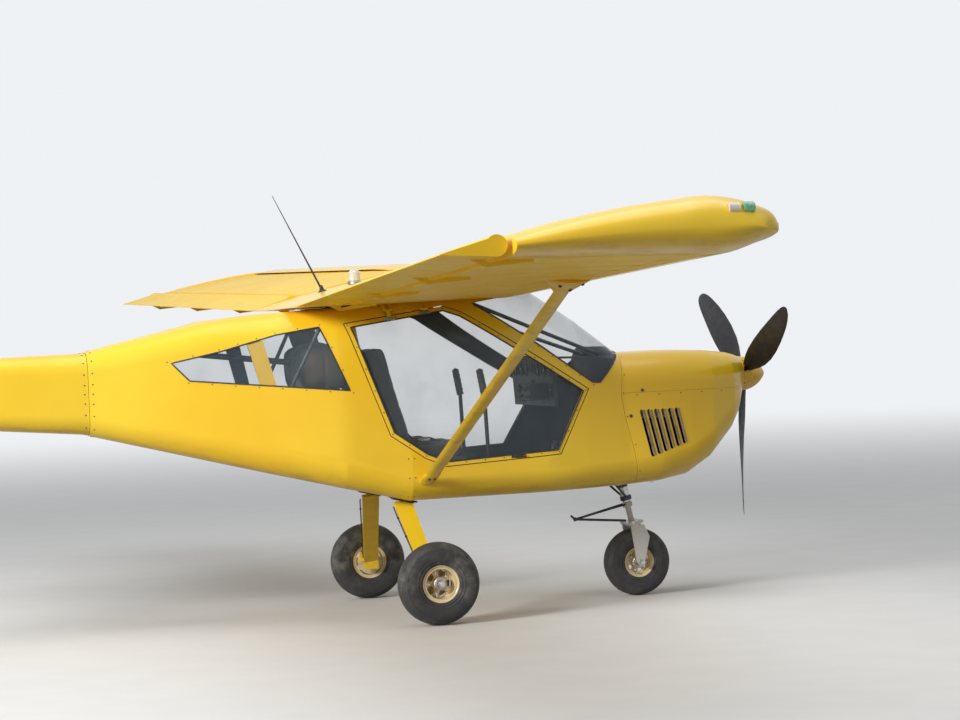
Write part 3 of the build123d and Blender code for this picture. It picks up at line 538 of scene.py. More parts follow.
def floor_mat(paint):
    made = Finish("floor_mat")
    tuft = made.noise(240, 5, 0.7)
    pile = made.spread(tuft, 0.35, 0.7)
    made.set(Base_Color=made.blend(pile, (0.035, 0.034, 0.036), (0.085, 0.080, 0.078)))
    made.rough(40, 3, 0.8, 0.96)
    made.set(Normal=made.bump(tuft, 0.0014, 0.8))
    return made.material


def dial_face(paint):
    return plain_finish(
        "dial_face", (90, 4), (0.4, 0.7), (0.010, 0.010, 0.012), (0.020, 0.020, 0.022), (120, 2, 0.4, 0.55))


def dial_white(paint):
    return plain_finish(
        "dial_white", (300, 3), (0.4, 0.7), (0.78, 0.78, 0.76), (0.66, 0.66, 0.64), (200, 2, 0.45, 0.6))


def signal_red(paint):
    return plain_finish(
        "signal_red", (60, 4), (0.4, 0.7), (0.55, 0.03, 0.02), (0.40, 0.04, 0.02), (80, 3, 0.35, 0.5))


MAKERS = {
    "gloss": gloss_paint, "inner_shaded": paint_with_inner_shade, "doped": cloth_paint, "glass": window_glass,
    "tyre": tyre_rubber, "rim": wheel_paint, "fork": fork_paint, "steel": steel, "dark_steel": dark_steel,
    "alloy": cast_alloy, "louvre": louvre_tan, "spinner": spinner_paint, "blade": blade_black,
    "dark": dark_plastic, "seal": seal_rubber, "seat": seat_cloth, "bag": bag_cloth, "belt": belt_cloth,
    "lens": lamp_lens, "beacon": beacon_lens, "mat": floor_mat, "dial": dial_face, "white": dial_white,
    "red": signal_red,
}

NODE_FINISHES = {
    # Yellow with a painted shade on the faces that look into the cabin.
    "inner_shaded": (
        "fuselage_rear", "fuselage_tub", "cabin_roof", "cowl_upper", "cowl_lower", "door_frame_right",
        "door_frame_left", "window_posts",
    ),
    "gloss": (
        "tail_boom", "wing_centre", "lift_strut_right", "lift_strut_left", "main_leg_right", "main_leg_left",
        "wing_tip_right", "wing_tip_left",
    ),
    "doped": (
        "wing_right", "wing_left", "flaperon_right", "flaperon_left", "tailplane", "elevator", "fin",
        "rudder",
    ),
    "glass": ("rear_windows", "windscreen", "door_pane_right", "door_pane_left"),
    "tyre": ("main_right_tyre", "main_left_tyre", "nose_tyre"),
    "rim": ("main_right_rim", "main_left_rim", "nose_rim"),
    "fork": ("nose_fork",),
    "steel": ("nose_leg", "drain_pipe", "pedals"),
    "dark_steel": ("nose_link", "cabin_tubes"),
    "alloy": ("engine_block",),
    "spinner": ("spinner",),
    "blade": ("propeller_blades",),
    "dark": ("instrument_panel", "rear_shelf", "antenna", "control_sticks", "firewall"),
    "mat": ("cabin_floor",),
    "seat": ("seat_right", "seat_left"),
    "bag": ("rear_bag",),
    "lens": ("tip_lamps",),
    "beacon": ("beacon",),
}


# Shapes


def bands(rows, count, closed=False):
    """Faces between rows of count points, each row a loop."""
    faces = []
    for row in range(rows if closed else rows - 1):
        here, there = row * count, (row + 1) % rows * count
        for i in range(count):
            j = (i + 1) % count
            faces.append((here + i, here + j, there + j, there + i))
    return faces


def ends(rows, count):
    """The faces that close the first and the last row."""
    return [tuple(range(count - 1, -1, -1)), tuple(range((rows - 1) * count, rows * count))]


class Shape:
    """Points and faces of one piece, gathered before its mesh is made."""

    def __init__(self):
        self.points = []
        self.faces = []

    def add(self, points, faces):
        first = len(self.points)
        self.points.extend(Vector(p) for p in points)
        self.faces.extend(tuple(first + i for i in face) for face in faces)

    def turned(self, profile, centre, axis, steps=32, turn=0.0):
        """A profile of (radius, distance along the axis), turned about the axis."""
        axis = Vector(axis).normalized()
        side = axis.orthogonal().normalized()
        other = axis.cross(side)
        centre = Vector(centre)
        points, rows = [], []
        for radius, along in profile:
            middle = centre + axis * along
            if radius < 1e-6:
                rows.append([len(points)] * steps)
                points.append(middle)
                continue
            rows.append(list(range(len(points), len(points) + steps)))
            for step in range(steps):
                angle = turn + 2 * math.pi * step / steps
                points.append(middle + (side * math.cos(angle) + other * math.sin(angle)) * radius)
        faces = []
        for low, high in zip(rows, rows[1:]):
            for step in range(steps):
                after = (step + 1) % steps
                corners = [low[step], low[after], high[after], high[step]]
                faces.append(tuple(dict.fromkeys(corners)))
        self.add(points, [f for f in faces if len(f) > 2])

    def ribbon(self, stations, section, closed=False):
        """A closed section of (across, up) carried along stations of (point, across, up)."""
        points = [p + across * a + up * u for p, across, up in stations for a, u in section]
        size = (len(stations), len(section))
        self.add(points, bands(*size, closed) + ([] if closed else ends(*size)))

    def laid(self, found, section, closed=False):
        """A strip through the spots found on a skin, without those that missed it."""
        spots = [spot for spot in found if spot is not None]
        if len(spots) > 2:
            self.ribbon(stations_on(spots, closed), section, closed)

    def tube(self, path, radius, sides=12, closed=False):
        """A round tube along a path. The radius is one number, or one for each point."""
        path = [Vector(p) for p in path]
        radii = radius if isinstance(radius, (list, tuple)) else [radius] * len(path)
        up = None
        stations = []
        for i, point in enumerate(path):
            before = path[i - 1] if i or closed else point
            after = path[(i + 1) % len(path)] if i < len(path) - 1 or closed else point
            run = (after - before).normalized()
            if up is None:
                up = run.orthogonal().normalized()
            up = (up - run * up.dot(run)).normalized()
            stations.append((point, run.cross(up) * radii[i], up * radii[i]))
        ring = [(math.cos(2 * math.pi * k / sides), math.sin(2 * math.pi * k / sides)) for k in range(sides)]
        self.ribbon(stations, ring, closed)

    def block(self, centre, size, radius, turn=None, segments=2):
        """A box with rounded edges. turn is a matrix that it is turned by."""
        made = bmesh.new()
        bmesh.ops.create_cube(made, size=1)
        bmesh.ops.scale(made, vec=Vector(size), verts=made.verts)
        bmesh.ops.bevel(
            made, geom=made.edges[:], offset=radius, segments=segments, profile=0.5, affect="EDGES")
        made.verts.ensure_lookup_table()
        place = Matrix.Translation(Vector(centre)) @ (turn.to_4x4() if turn else Matrix.Identity(4))
        self.add([place @ v.co for v in made.verts], [[v.index for v in f.verts] for f in made.faces])
        made.free()

    def screw(self, point, normal, radius):
        """A domed panel screw with a socket in its head, standing on a surface."""
        rise = radius * 0.45
        self.turned(
            [(radius, -rise * 0.5), (radius, rise * 0.3), (radius * 0.8, rise * 0.85), (radius * 0.42, rise),
             (radius * 0.36, rise * 0.35), (0, rise * 0.35)],
            point, normal, 14)

    def screws(self, spots, radius):
        for point, normal in spots:
            self.screw(point, normal, radius)

    def bolt(self, point, normal, radius, height, turn=0.0):
        """A hexagon head on a round washer."""
        self.turned(
            [(radius * 1.5, -height * 0.2), (radius * 1.5, height * 0.16), (radius * 1.42, height * 0.22),
             (0, height * 0.22)],
            point, normal, 20)
        self.turned(
            [(radius, height * 0.1), (radius, height * 0.88), (radius * 0.86, height), (0, height)],
            point, normal, 6, turn)


def piece(name, shape, kind, body="airframe", crease=35.0):
    """Makes the piece's mesh, gives it its finish and its slot, and has it ride on a body."""
    mesh = bpy.data.meshes.new(name)
    mesh.from_pydata([tuple(p) for p in shape.points], [], shape.faces)
    tidy = bmesh.new()
    tidy.from_mesh(mesh)
    bmesh.ops.recalc_face_normals(tidy, faces=tidy.faces)
    tidy.to_mesh(mesh)
    tidy.free()
    mesh.polygons.foreach_set("use_smooth", [True] * len(mesh.polygons))
    mesh.set_sharp_from_angle(angle=math.radians(crease))
    mesh.materials.append(finish(kind))
    made = in_scene(name, mesh)
    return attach(made, body)


def in_scene(name, data):
    """A new object with that data, linked to the scene."""
    made = bpy.data.objects.new(name, data)
    bpy.context.scene.collection.objects.link(made)
    return made


skins = {}


def skin(node):
    """The search tree of a node's surface, made once."""
    if node not in skins:
        skins[node] = search_tree(nodes[node].data)
    return skins[node]


def search_tree(mesh):
    return BVHTree.FromPolygons([v.co for v in mesh.vertices], [p.vertices for p in mesh.polygons])


def hit(names, origin, direction):
    """The nearest point and normal where a line from outside meets one of the nodes, or None."""
    best = None
    for name in names:
        point, normal, _, distance = skin(name).ray_cast(Vector(origin), Vector(direction))
        if point is not None and (best is None or distance < best[2]):
            best = (point, normal, distance)
    if best is None:
        return None
    point, normal, _ = best
    return point, normal if normal.dot(Vector(direction)) < 0 else -normal


def on_side(names, x, z, side):
    """Point and normal on the skin at x and z, seen from the right (-1) or the left (1)."""
    return hit(names, (x, side * 3, z), (0, -side, 0))


def from_above(names, x, y, way=-1):
    """Point and normal on the skin at x and y, seen from above (-1) or from below (1)."""
    return hit(names, (x, y, 1.2 - way * 3), (0, 0, way))


def grown(outline, amount):
    """The outline moved outwards by an amount, each corner along its bisector."""
    area = sum(a[0] * b[1] - b[0] * a[1] for a, b in zip(outline, outline[1:] + outline[:1]))
    turn = -1 if area > 0 else 1
    result = []
    for i, (x, z) in enumerate(outline):
        before, after = outline[i - 1], outline[(i + 1) % len(outline)]
        first = Vector((x - before[0], z - before[1])).normalized()
        second = Vector((after[0] - x, after[1] - z)).normalized()
        out_a = Vector((-first.y, first.x)) * turn
        out_b = Vector((-second.y, second.x)) * turn
        middle = (out_a + out_b).normalized()
        move = middle * (amount / max(middle.dot(out_a), 0.3))
        result.append((x + move.x, z + move.y))
    return result


def walked(outline, pitch, closed):
    """Points along a line of corners, no further apart than the pitch."""
    corners = outline + outline[:1] if closed else outline
    result = []
    for start, end in zip(corners, corners[1:]):
        count = max(1, round(math.dist(start, end) / pitch))
        result += [tuple(a + (b - a) * k / count for a, b in zip(start, end)) for k in range(count)]
    return result if closed else result + [corners[-1]]


def spots_on(names, outline, side, pitch, closed):
    """Points and normals on the side of the skin along an outline in millimetres."""
    found = (on_side(names, x * MM, z * MM, side) for x, z in walked(list(outline), pitch, closed))
    return [spot for spot in found if spot is not None]


def stations_on(found, closed):
    """Stations for a ribbon that lies along spots on a skin."""
    stations = []
    total = len(found)
    for i, (point, normal) in enumerate(found):
        before = found[i - 1][0] if i or closed else point
        after = found[(i + 1) % total][0] if i < total - 1 or closed else point
        run = (after - before).normalized()
        up = (normal - run * normal.dot(run)).normalized()
        stations.append((point, run.cross(up), up))
    return stations


def strip_section(width, rise, sink=0.0012):
    """A low strip with sloped edges: half widths and heights over the skin."""
    half = width / 2
    inner = half * 0.6
    edge = rise * 0.5
    return [(-half, -sink), (half, -sink), (half, edge), (inner, rise), (-inner, rise), (-half, edge)]


def box_of(node):
    """The lowest and the highest corner of a node's box."""
    return [Vector(corner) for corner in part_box(node)]


def both(make):
    """Calls make for the right and the left side."""
    for name, side in SIDES:
        make(name, side)


# Operators


class StageOperator(bpy.types.Operator):
    """Sets the camera, the floor, the backdrop and the lamps"""

    bl_idname = "aircraft.stage"
    bl_label = "Stage"

    def execute(self, context):
        stage = context.scene.aircraft_stage
        view = bpy.data.cameras.new("photo_view")
        view.lens = stage.lens
        view.sensor_width = 36
        view.clip_end = 400
        camera = in_scene("photo_view", view)
        context.scene.camera = camera
        up = PHOTO_RIGHT.cross(PHOTO_FORWARD)
        turn = Matrix((PHOTO_RIGHT, up, -PHOTO_FORWARD)).transposed().to_4x4()
        camera.matrix_world = Matrix.Translation(PHOTO_EYE) @ turn
        self.floor(stage)
        self.world(stage)
        self.lamp("key_lamp", (-12.5, -8.0, 6.4), (0.4, -0.3, 1.2), 4.5, stage.key_power)
        self.lamp("top_lamp", (1.5, -1.0, 9.5), (0.4, 0, 1.0), 9.0, stage.top_power)
        context.scene.view_settings.view_transform = "Standard"
        return {"FINISHED"}

    def lamp(self, name, place, target, size, power):
        data = bpy.data.lights.new(name, "AREA")
        data.shape = "DISK"
        data.size = size
        data.energy = power
        lamp = in_scene(name, data)
        lamp.location = place
        lamp.rotation_euler = (Vector(target) - Vector(place)).to_track_quat("-Z", "Y").to_euler()

    def floor(self, stage):
        shape = Shape()
        shape.turned([(0, 0), (6, 0), (14, 0), (40, 0), (140, 0)], (0, 0, 0), Z_AXIS, 96)
        mesh = bpy.data.meshes.new("studio_floor")
        mesh.from_pydata([tuple(p) for p in shape.points], [], shape.faces)
        thing = in_scene("studio_floor", mesh)
        made = Finish("studio_floor")
        cloud = made.spread(made.noise(3, 4), 0.3, 0.7)
        colour = made.blend(cloud, stage.floor, tuple(c * 0.97 for c in stage.floor))
        seen = seen_rays(made)
        made.set(Base_Color=made.blend(seen, stage.bounce, colour), Roughness=0.75)
        far = made.spread(made.vector("LENGTH", "Value", n0=made.place), 6.0, 34.0)
        share = made.math("MULTIPLY", far, seen)
        glow = made.node("Emission", Color=rgba(stage.backdrop))
        mixed = made.node("MixShader", n0=share, n1=made.shader.outputs[0], n2=glow.outputs[0])
        made.tree.links.new(mixed.outputs[0], made.output.inputs["Surface"])
        mesh.materials.append(made.material)

    def world(self, stage):
        world = bpy.data.worlds.new("studio_surround")
        bpy.context.scene.world = world
        world.use_nodes = True
        tree = world.node_tree
        soft = tree.nodes["Background"]
        soft.inputs["Color"].default_value = (0.97, 0.98, 1.0, 1)
        soft.inputs["Strength"].default_value = stage.fill
        shown = tree.nodes.new("ShaderNodeBackground")
        shown.inputs["Color"].default_value = rgba(stage.backdrop)
        path = tree.nodes.new("ShaderNodeLightPath")
        share = path.outputs["Is Camera Ray"]
        for ray in ("Is Glossy Ray", "Is Transmission Ray"):
            most = tree.nodes.new("ShaderNodeMath")
            most.operation = "MAXIMUM"
            tree.links.new(share, most.inputs[0])
            tree.links.new(path.outputs[ray], most.inputs[1])
            share = most.outputs[0]
        mixed = tree.nodes.new("ShaderNodeMixShader")
        tree.links.new(share, mixed.inputs[0])
        tree.links.new(soft.outputs[0], mixed.inputs[1])
        tree.links.new(shown.outputs[0], mixed.inputs[2])
        tree.links.new(mixed.outputs[0], tree.nodes["World Output"].inputs["Surface"])


def seen_rays(made):
    """1 for the rays that are seen, straight, in a reflection or through glass."""
    path = made.node("LightPath").outputs
    share = made.math("MAXIMUM", path["Is Camera Ray"], path["Is Glossy Ray"])
    return made.math("MAXIMUM", share, path["Is Transmission Ray"])


class FinishesOperator(bpy.types.Operator):
    """Gives every carried-over node its finish and smooths its shading"""

    bl_idname = "aircraft.finishes"
    bl_label = "Finishes"

    def execute(self, context):
        group = self.smoothing()
        for kind, names in NODE_FINISHES.items():
            for name in names:
                thing = nodes[name]
                for place in thing.material_slots:
                    place.material = finish(kind)
                self.smooth(thing, group)
        missing = set(nodes) - {n for names in NODE_FINISHES.values() for n in names}
        if missing:
            raise RuntimeError(f"no finish for {sorted(missing)}")
        return {"FINISHED"}

    def smoothing(self):
        """Nodes that shade faces smooth, apart from edges sharper than an angle."""
        group = bpy.data.node_groups.new("smooth_by_angle", "GeometryNodeTree")
        group.interface.new_socket("Geometry", in_out="INPUT", socket_type="NodeSocketGeometry")
        group.interface.new_socket("Geometry", in_out="OUTPUT", socket_type="NodeSocketGeometry")
        start, end = group.nodes.new("NodeGroupInput"), group.nodes.new("NodeGroupOutput")
        faces = group.nodes.new("GeometryNodeSetShadeSmooth")
        edges = group.nodes.new("GeometryNodeSetShadeSmooth")
        edges.domain = "EDGE"
        edges.inputs["Shade Smooth"].default_value = False
        angle = group.nodes.new("GeometryNodeInputMeshEdgeAngle")
        over = group.nodes.new("FunctionNodeCompare")
        over.operation = "GREATER_THAN"
        over.inputs[1].default_value = math.radians(31)
        group.links.new(angle.outputs[0], over.inputs[0])
        group.links.new(start.outputs[0], faces.inputs["Geometry"])
        group.links.new(faces.outputs[0], edges.inputs["Geometry"])
        group.links.new(over.outputs[0], edges.inputs["Selection"])
        group.links.new(edges.outputs[0], end.inputs[0])
        return group

    def smooth(self, thing, group):
        bpy.context.view_layer.objects.active = thing
        bpy.ops.mesh.customdata_custom_splitnormals_clear()
        weld = thing.modifiers.new("weld", "WELD")
        weld.merge_threshold = 0.00002
        thing.modifiers.new("smooth", "NODES").node_group = group
        weighted = thing.modifiers.new("weighted", "WEIGHTED_NORMAL")
        weighted.keep_sharp = True


def across_axis(normal):
    """A turn whose third axis is the normal and whose first lies along the aircraft."""
    normal = Vector(normal).normalized()
    first = (X_AXIS - normal * X_AXIS.dot(normal)).normalized()
    return Matrix((first, normal.cross(first), normal)).transposed()


def ring_profile(inner, outer, low, high, soft):
    """A closed profile of a ring with softened edges, for turned()."""
    return [
        (inner, low), (outer - soft, low), (outer, low + soft), (outer, high - soft), (outer - soft, high),
        (inner, high), (inner, low),
    ]


class TyresOperator(bpy.types.Operator):
    """Makes the three grooved tyres in place of the plain ones"""

    bl_idname = "aircraft.tyres"
    bl_label = "Tyres"

    # Share of the half width, and share of the height from bead to crown
    wall = (
        (0.70, 0.0), (0.76, 0.012), (0.80, 0.06), (0.88, 0.15), (0.945, 0.255), (0.985, 0.38), (1.0, 0.50),
        (0.99, 0.60), (0.955, 0.69), (0.895, 0.77), (0.81, 0.84), (0.70, 0.893),
    )
    crown = ((0.56, 0.935), (0.46, 0.957), (0.30, 0.982), (0.16, 0.996), (0.0, 1.0))
    rings = ((0.905, 0.185), (0.965, 0.305), (0.93, 0.725))
    grooves = (0.145, 0.375, 0.60)

    def execute(self, context):
        depth = context.scene.aircraft_sizes.groove_depth
        for node, _, body, bead, *_ in WHEELS:
            low, high = box_of(node)
            tyre = self.tyre((low + high) / 2, (high.z - low.z) / 2, (high.y - low.y) / 2, bead, depth)
            made = piece(node + "_treaded", tyre, "tyre", body, 28)
            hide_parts(node)
        return {"FINISHED"}

    def tyre(self, centre, radius, half, bead, depth):
        tall = radius - bead
        line = [(bead + up * tall, across * half) for across, up in self.wall]
        for across, up in self.rings:
            at = bead + up * tall
            line += [(at - 0.0026, across * half), (at - 0.0016, across * half + 0.0013),
                     (at + 0.0016, across * half + 0.0010), (at + 0.0026, across * half - 0.0004)]
        line.sort(key=lambda spot: spot[0])
        top = [(bead + up * tall, across * half) for across, up in self.crown]
        for share in self.grooves:
            mid = share * half
            at = radius - (1 - self.rise(share)) * tall
            top += [(at, mid + 0.0023), (at - depth, mid + 0.0014)]
            top += [(at - depth, mid - 0.0014), (at, mid - 0.0023)]
        top.sort(key=lambda spot: -spot[1])
        profile = line + top
        profile += [(r, -y) for r, y in reversed(profile[:-1])]
        profile.append(profile[0])
        shape = Shape()
        shape.turned(profile, centre, Y_AXIS, 112)
        return shape

    def rise(self, share):
        """Height of the crown over the bead at a share of the half width."""
        spots = sorted(self.crown + self.wall[-1:])
        for (low, first), (high, second) in zip(spots, spots[1:]):
            if low <= share <= high:
                return first + (second - first) * (share - low) / (high - low)
        return spots[-1][1]


class WheelFittingsOperator(bpy.types.Operator):
    """Adds rim flanges, hub rings, bolts, valves and axle nuts to the wheels"""

    bl_idname = "aircraft.wheel_fittings"
    bl_label = "Wheel fittings"

    # Out from the bead, and along the axle from the rim's edge
    lip = (
        (-0.002, -0.006), (0.006, -0.003), (0.0105, 0.001), (0.0115, 0.006), (0.008, 0.009), (0.0025, 0.007),
        (-0.003, 0.001), (-0.002, -0.006),
    )

    def execute(self, context):
        for node, rim, body, bead, circle, sides, stem in WHEELS:
            low, high = box_of(node)
            centre = (low + high) / 2
            half = (high.y - low.y) / 2
            flanges, caps, bolts = Shape(), Shape(), Shape()
            lip = [(bead + out, half * 0.70 + along) for out, along in self.lip]
            for side in (-1, 1):
                flanges.turned(lip, centre, Y_AXIS * side, 72)
            for side in sides:
                self.hub(caps, bolts, centre, rim, circle, side, stem)
            piece(f"{rim}_flanges", flanges, "rim", body, 30)
            piece(f"{rim}_hub_ring", caps, "alloy", body, 30)
            piece(f"{rim}_bolts", bolts, "steel", body, 30)
        both(self.axle)
        return {"FINISHED"}

    def hub(self, caps, bolts, centre, rim, circle, side, stem):
        face = on_side((rim,), centre.x + 0.0265, centre.z, side)
        if face is None:
            raise RuntimeError(f"no hub face on {rim}")
        foot = Vector((centre.x, face[0].y, centre.z))
        caps.turned(
            [(0.0195, -0.002), (0.034, -0.001), (0.0345, 0.003), (0.031, 0.006), (0.0265, 0.0065),
             (0.025, 0.011), (0.0205, 0.012), (0.0195, -0.002)],
            foot, Y_AXIS * side, 40)
        for step in range(5):
            angle = math.radians(36 + 72 * step)
            spot = self.on_rim(rim, centre, circle, angle, side)
            if spot is not None:
                bolts.bolt(spot[0], (0, side, 0), 0.0058, 0.006, angle)
        angle = math.radians(250)
        spot = self.on_rim(rim, centre, circle + 0.017, angle, side)
        if spot is not None:
            out = Vector((math.cos(angle) * -0.3, side, math.sin(angle) * -0.3)).normalized()
            neck = stem - 0.011
            path = [spot[0] + out * reach for reach in (-0.004, neck - 0.004, neck)]
            bolts.tube(path, [0.0042, 0.0036, 0.0044], 12)
            bolts.tube([spot[0] + out * neck, spot[0] + out * stem], 0.0048, 10)

    def on_rim(self, rim, centre, reach, angle, side):
        return on_side((rim,), centre.x + reach * math.cos(angle), centre.z + reach * math.sin(angle), side)

    def axle(self, name, side):
        low, high = box_of("main_leg_" + name)
        end = low.y if side < 0 else high.y
        shape = Shape()
        shape.bolt((MAIN_AXLE_X, end, MAIN_AXLE_Z), (0, side, 0), 0.0125, 0.011)
        pin = [(MAIN_AXLE_X, end + side * 0.010, MAIN_AXLE_Z + reach) for reach in (-0.012, 0.012)]
        shape.tube(pin, 0.0016, 8)
        piece(f"axle_nut_{name}", shape, "steel", "airframe", 30)


class LegFittingsOperator(bpy.types.Operator):
    """Adds brake pipes with clips and the boots where the legs leave the hull"""

    bl_idname = "aircraft.leg_fittings"
    bl_label = "Leg fittings"

    pipe = ((0.764, 0.425, 0.615), (0.7655, 0.44, 0.597), (0.8375, 0.745, 0.252), (0.849, 0.764, 0.243))

    def execute(self, context):
        both(self.side)
        return {"FINISHED"}

    def side(self, name, side):
        path = [Vector((x, y * side, z)) for x, y, z in self.pipe]
        pipe = Shape()
        pipe.tube(path, 0.0036, 10)
        run = (path[2] - path[1]).normalized()
        for share in (0.12, 0.4, 0.68, 0.92):
            spot = path[1].lerp(path[2], share)
            clip = [spot + run * reach for reach in (-0.005, -0.004, 0.004, 0.005)]
            pipe.tube(clip, [0.0038, 0.0058, 0.0058, 0.0038], 12)
        piece(f"brake_pipe_{name}", pipe, "dark")
        found = hit(("fuselage_tub", "fuselage_rear"), (0.82, side * 0.418, 0.2), (0, 0, 1))
        if found is None:
            raise RuntimeError("no hull over the leg")
        boot = Shape()
        turn = across_axis(found[1])
        boot.block(found[0], (0.150, 0.076, 0.009), 0.0035, turn, 3)
        boot.block(found[0] + found[1] * 0.006, (0.126, 0.052, 0.011), 0.004, turn, 3)
        piece(f"leg_boot_{name}", boot, "seal")
        screws = Shape()
        for along in (-0.066, 0, 0.066):
            for across in (-0.031, 0.031):
                screws.screw(found[0] + turn @ Vector((along, across, 0.0045)), found[1], 0.004)
        piece(f"leg_boot_screws_{name}", screws, "steel", "airframe", 30)


class NoseGearOperator(bpy.types.Operator):
    """Adds the clamp, stays, nuts and bolts of the nose gear"""

    bl_idname = "aircraft.nose_gear"
    bl_label = "Nose gear fittings"

    def execute(self, context):
        clamp = Shape()
        clamp.turned(ring_profile(0.0235, 0.033, 0.086, 0.112, 0.003), STEER_TOP, STEER_DIR, 40)
        clamp.turned(ring_profile(0.0235, 0.028, 0.020, 0.034, 0.002), STEER_TOP, STEER_DIR, 40)
        middle = STEER_TOP + STEER_DIR * 0.099
        for side in (-1, 1):
            ear = middle + Vector((-0.006, side * 0.034, 0.004))
            clamp.block(ear, (0.022, 0.016, 0.022), 0.003)
            clamp.bolt(ear + Vector((0, side * 0.008, 0)), (0, side, 0), 0.006, 0.006)
            top = hit(("fuselage_tub", "cowl_lower", "firewall"), (2.128, side * 0.085, 0.2), (0, 0, 1))
            if top is not None:
                clamp.tube([ear, top[0] + Vector((0, 0, 0.01))], 0.0065, 12)
                clamp.turned(ring_profile(0.001, 0.017, -0.002, 0.004, 0.001), top[0], top[1], 20)
        piece("nose_leg_clamp", clamp, "dark_steel", "airframe", 30)
        nuts = Shape()
        for side in (-1, 1):
            for x, z, radius in ((2.284, 0.194, 0.0135), (2.245, 0.424, 0.006), (2.290, 0.412, 0.006)):
                spot = on_side(("nose_fork",), x, z, side)
                if spot is not None:
                    nuts.bolt(spot[0], (0, side, 0), radius, 0.008 if radius < 0.01 else 0.012)
        piece("fork_nuts", nuts, "steel", "fork", 30)
        return {"FINISHED"}


class LouvresOperator(bpy.types.Operator):
    """Adds the hoods over the slots in the sides of the cowl"""

    bl_idname = "aircraft.louvres"
    bl_label = "Cowl louvres"

    # Across, forward of the slot's middle, and out from the skin
    section = (
        (0.0005, 0.0066), (0.0030, 0.0080), (0.0075, 0.0080), (0.0130, 0.0062), (0.0180, 0.0030),
        (0.0205, 0.0), (0.0190, -0.0012), (0.0160, 0.0016), (0.0115, 0.0044), (0.0070, 0.0060),
        (0.0030, 0.0060), (0.0012, 0.0052),
    )

    def execute(self, context):
        both(self.side)
        return {"FINISHED"}

    def side(self, name, side):
        along = Vector((math.cos(LOUVRE_LEAN), 0, math.sin(LOUVRE_LEAN)))
        cowl = ("cowl_lower", "cowl_upper")
        hoods = Shape()
        for number in range(LOUVRE_COUNT):
            middle = LOUVRE_FIRST + LOUVRE_STEP * number
            length = 0.270 - 0.0126 * number - 0.012
            found = []
            for step in range(13):
                spot = middle + along * length * (step / 12 - 0.5)
                beside = [on_side(cowl, spot.x + way * 0.0165, spot.z, side) for way in (-1, 1)]
                if None in beside:
                    raise RuntimeError("no cowl beside a louvre")
                (back, back_normal), (front, front_normal) = beside
                found.append(((back + front) / 2, (back_normal + front_normal).normalized()))
            stations = [(p, a if a.x > 0 else -a, n) for p, a, n in stations_on(found, False)]
            hoods.ribbon(stations, self.section)
        piece(f"louvre_hoods_{name}", hoods, "louvre")


class SealsOperator(bpy.types.Operator):
    """Lays rubber seals round the windows and doors, with their screws"""

    bl_idname = "aircraft.seals"
    bl_label = "Window seals"

    def execute(self, context):
        sizes = context.scene.aircraft_sizes
        self.section = strip_section(sizes.seal_width, 0.0034)
        self.radius = sizes.screw_radius
        both(self.door)
        both(self.rear)
        both(self.screen)
        self.cross()
        return {"FINISHED"}

    def lay(self, label, names, outline, side, body, closed=True):
        shape = Shape()
        shape.laid(spots_on(names, outline, side, 14, closed), self.section, closed)
        piece(label, shape, "seal", body, 40)

    def screws(self, label, names, outline, side, body, pitch=118, closed=True):
        shape = Shape()
        shape.screws(spots_on(names, outline, side, pitch, closed), self.radius)
        piece(label, shape, "dark_steel", body, 30)

    def door(self, name, side):
        names = (f"door_frame_{name}", f"door_pane_{name}")
        self.lay(f"door_seal_{name}", names, grown(DOOR_GLASS, 1), side, f"door_{name}")
        self.screws(f"door_screws_{name}", names[:1], grown(DOOR_GLASS, 13), side, f"door_{name}")
        self.aperture(name, side)

    def aperture(self, name, side):
        """The rubber in the gap between door and hull, set back from the skin."""
        names = ("fuselage_tub", "fuselage_rear", "cabin_roof", "window_posts", "wing_centre")
        gap = [Vector(corner) for corner in grown(DOOR_GLASS, 26.5)]
        hull = [Vector(corner) for corner in grown(DOOR_GLASS, 38)]
        found = []
        for i in range(len(gap)):
            count = max(2, round((gap[i] - gap[i - 1]).length / 25))
            for step in range(count):
                beside = hull[i - 1].lerp(hull[i], step / count) * MM
                spot = on_side(names, beside.x, beside.y, side)
                if spot is not None and abs(spot[0].y) > 0.35:
                    middle = gap[i - 1].lerp(gap[i], step / count) * MM
                    found.append((Vector((middle.x, spot[0].y, middle.y)) - spot[1] * 0.009, spot[1]))
        shape = Shape()
        shape.laid(found, strip_section(0.013, 0.004, 0.004), True)
        piece(f"door_aperture_seal_{name}", shape, "seal", "airframe", 40)

    def rear(self, name, side):
        names = ("fuselage_rear", "rear_windows")
        self.lay(f"rear_window_seal_{name}", names, grown(REAR_GLASS, 1), side, "airframe")
        self.screws(f"rear_window_screws_{name}", names[:1], grown(REAR_GLASS, 13), side, "airframe")

    def screen(self, name, side):
        names = ("cabin_roof", "fuselage_tub", "windscreen")
        self.lay(f"windscreen_seal_{name}", names, SCREEN_EDGE, side, "airframe", False)
        low = [(x + 4, z - 15) for x, z in SCREEN_EDGE[:2]]
        self.screws(f"windscreen_screws_{name}", names[:2], low, side, "airframe", 105, False)

    def cross(self):
        """The strip across the foot of the windscreen."""
        names = ("fuselage_tub", "windscreen", "cowl_upper", "cabin_roof")
        shape = Shape()
        shape.laid([from_above(names, 2.108, -0.3 + 0.6 * step / 40) for step in range(41)], self.section)
        piece("windscreen_foot_seal", shape, "seal", "airframe", 40)


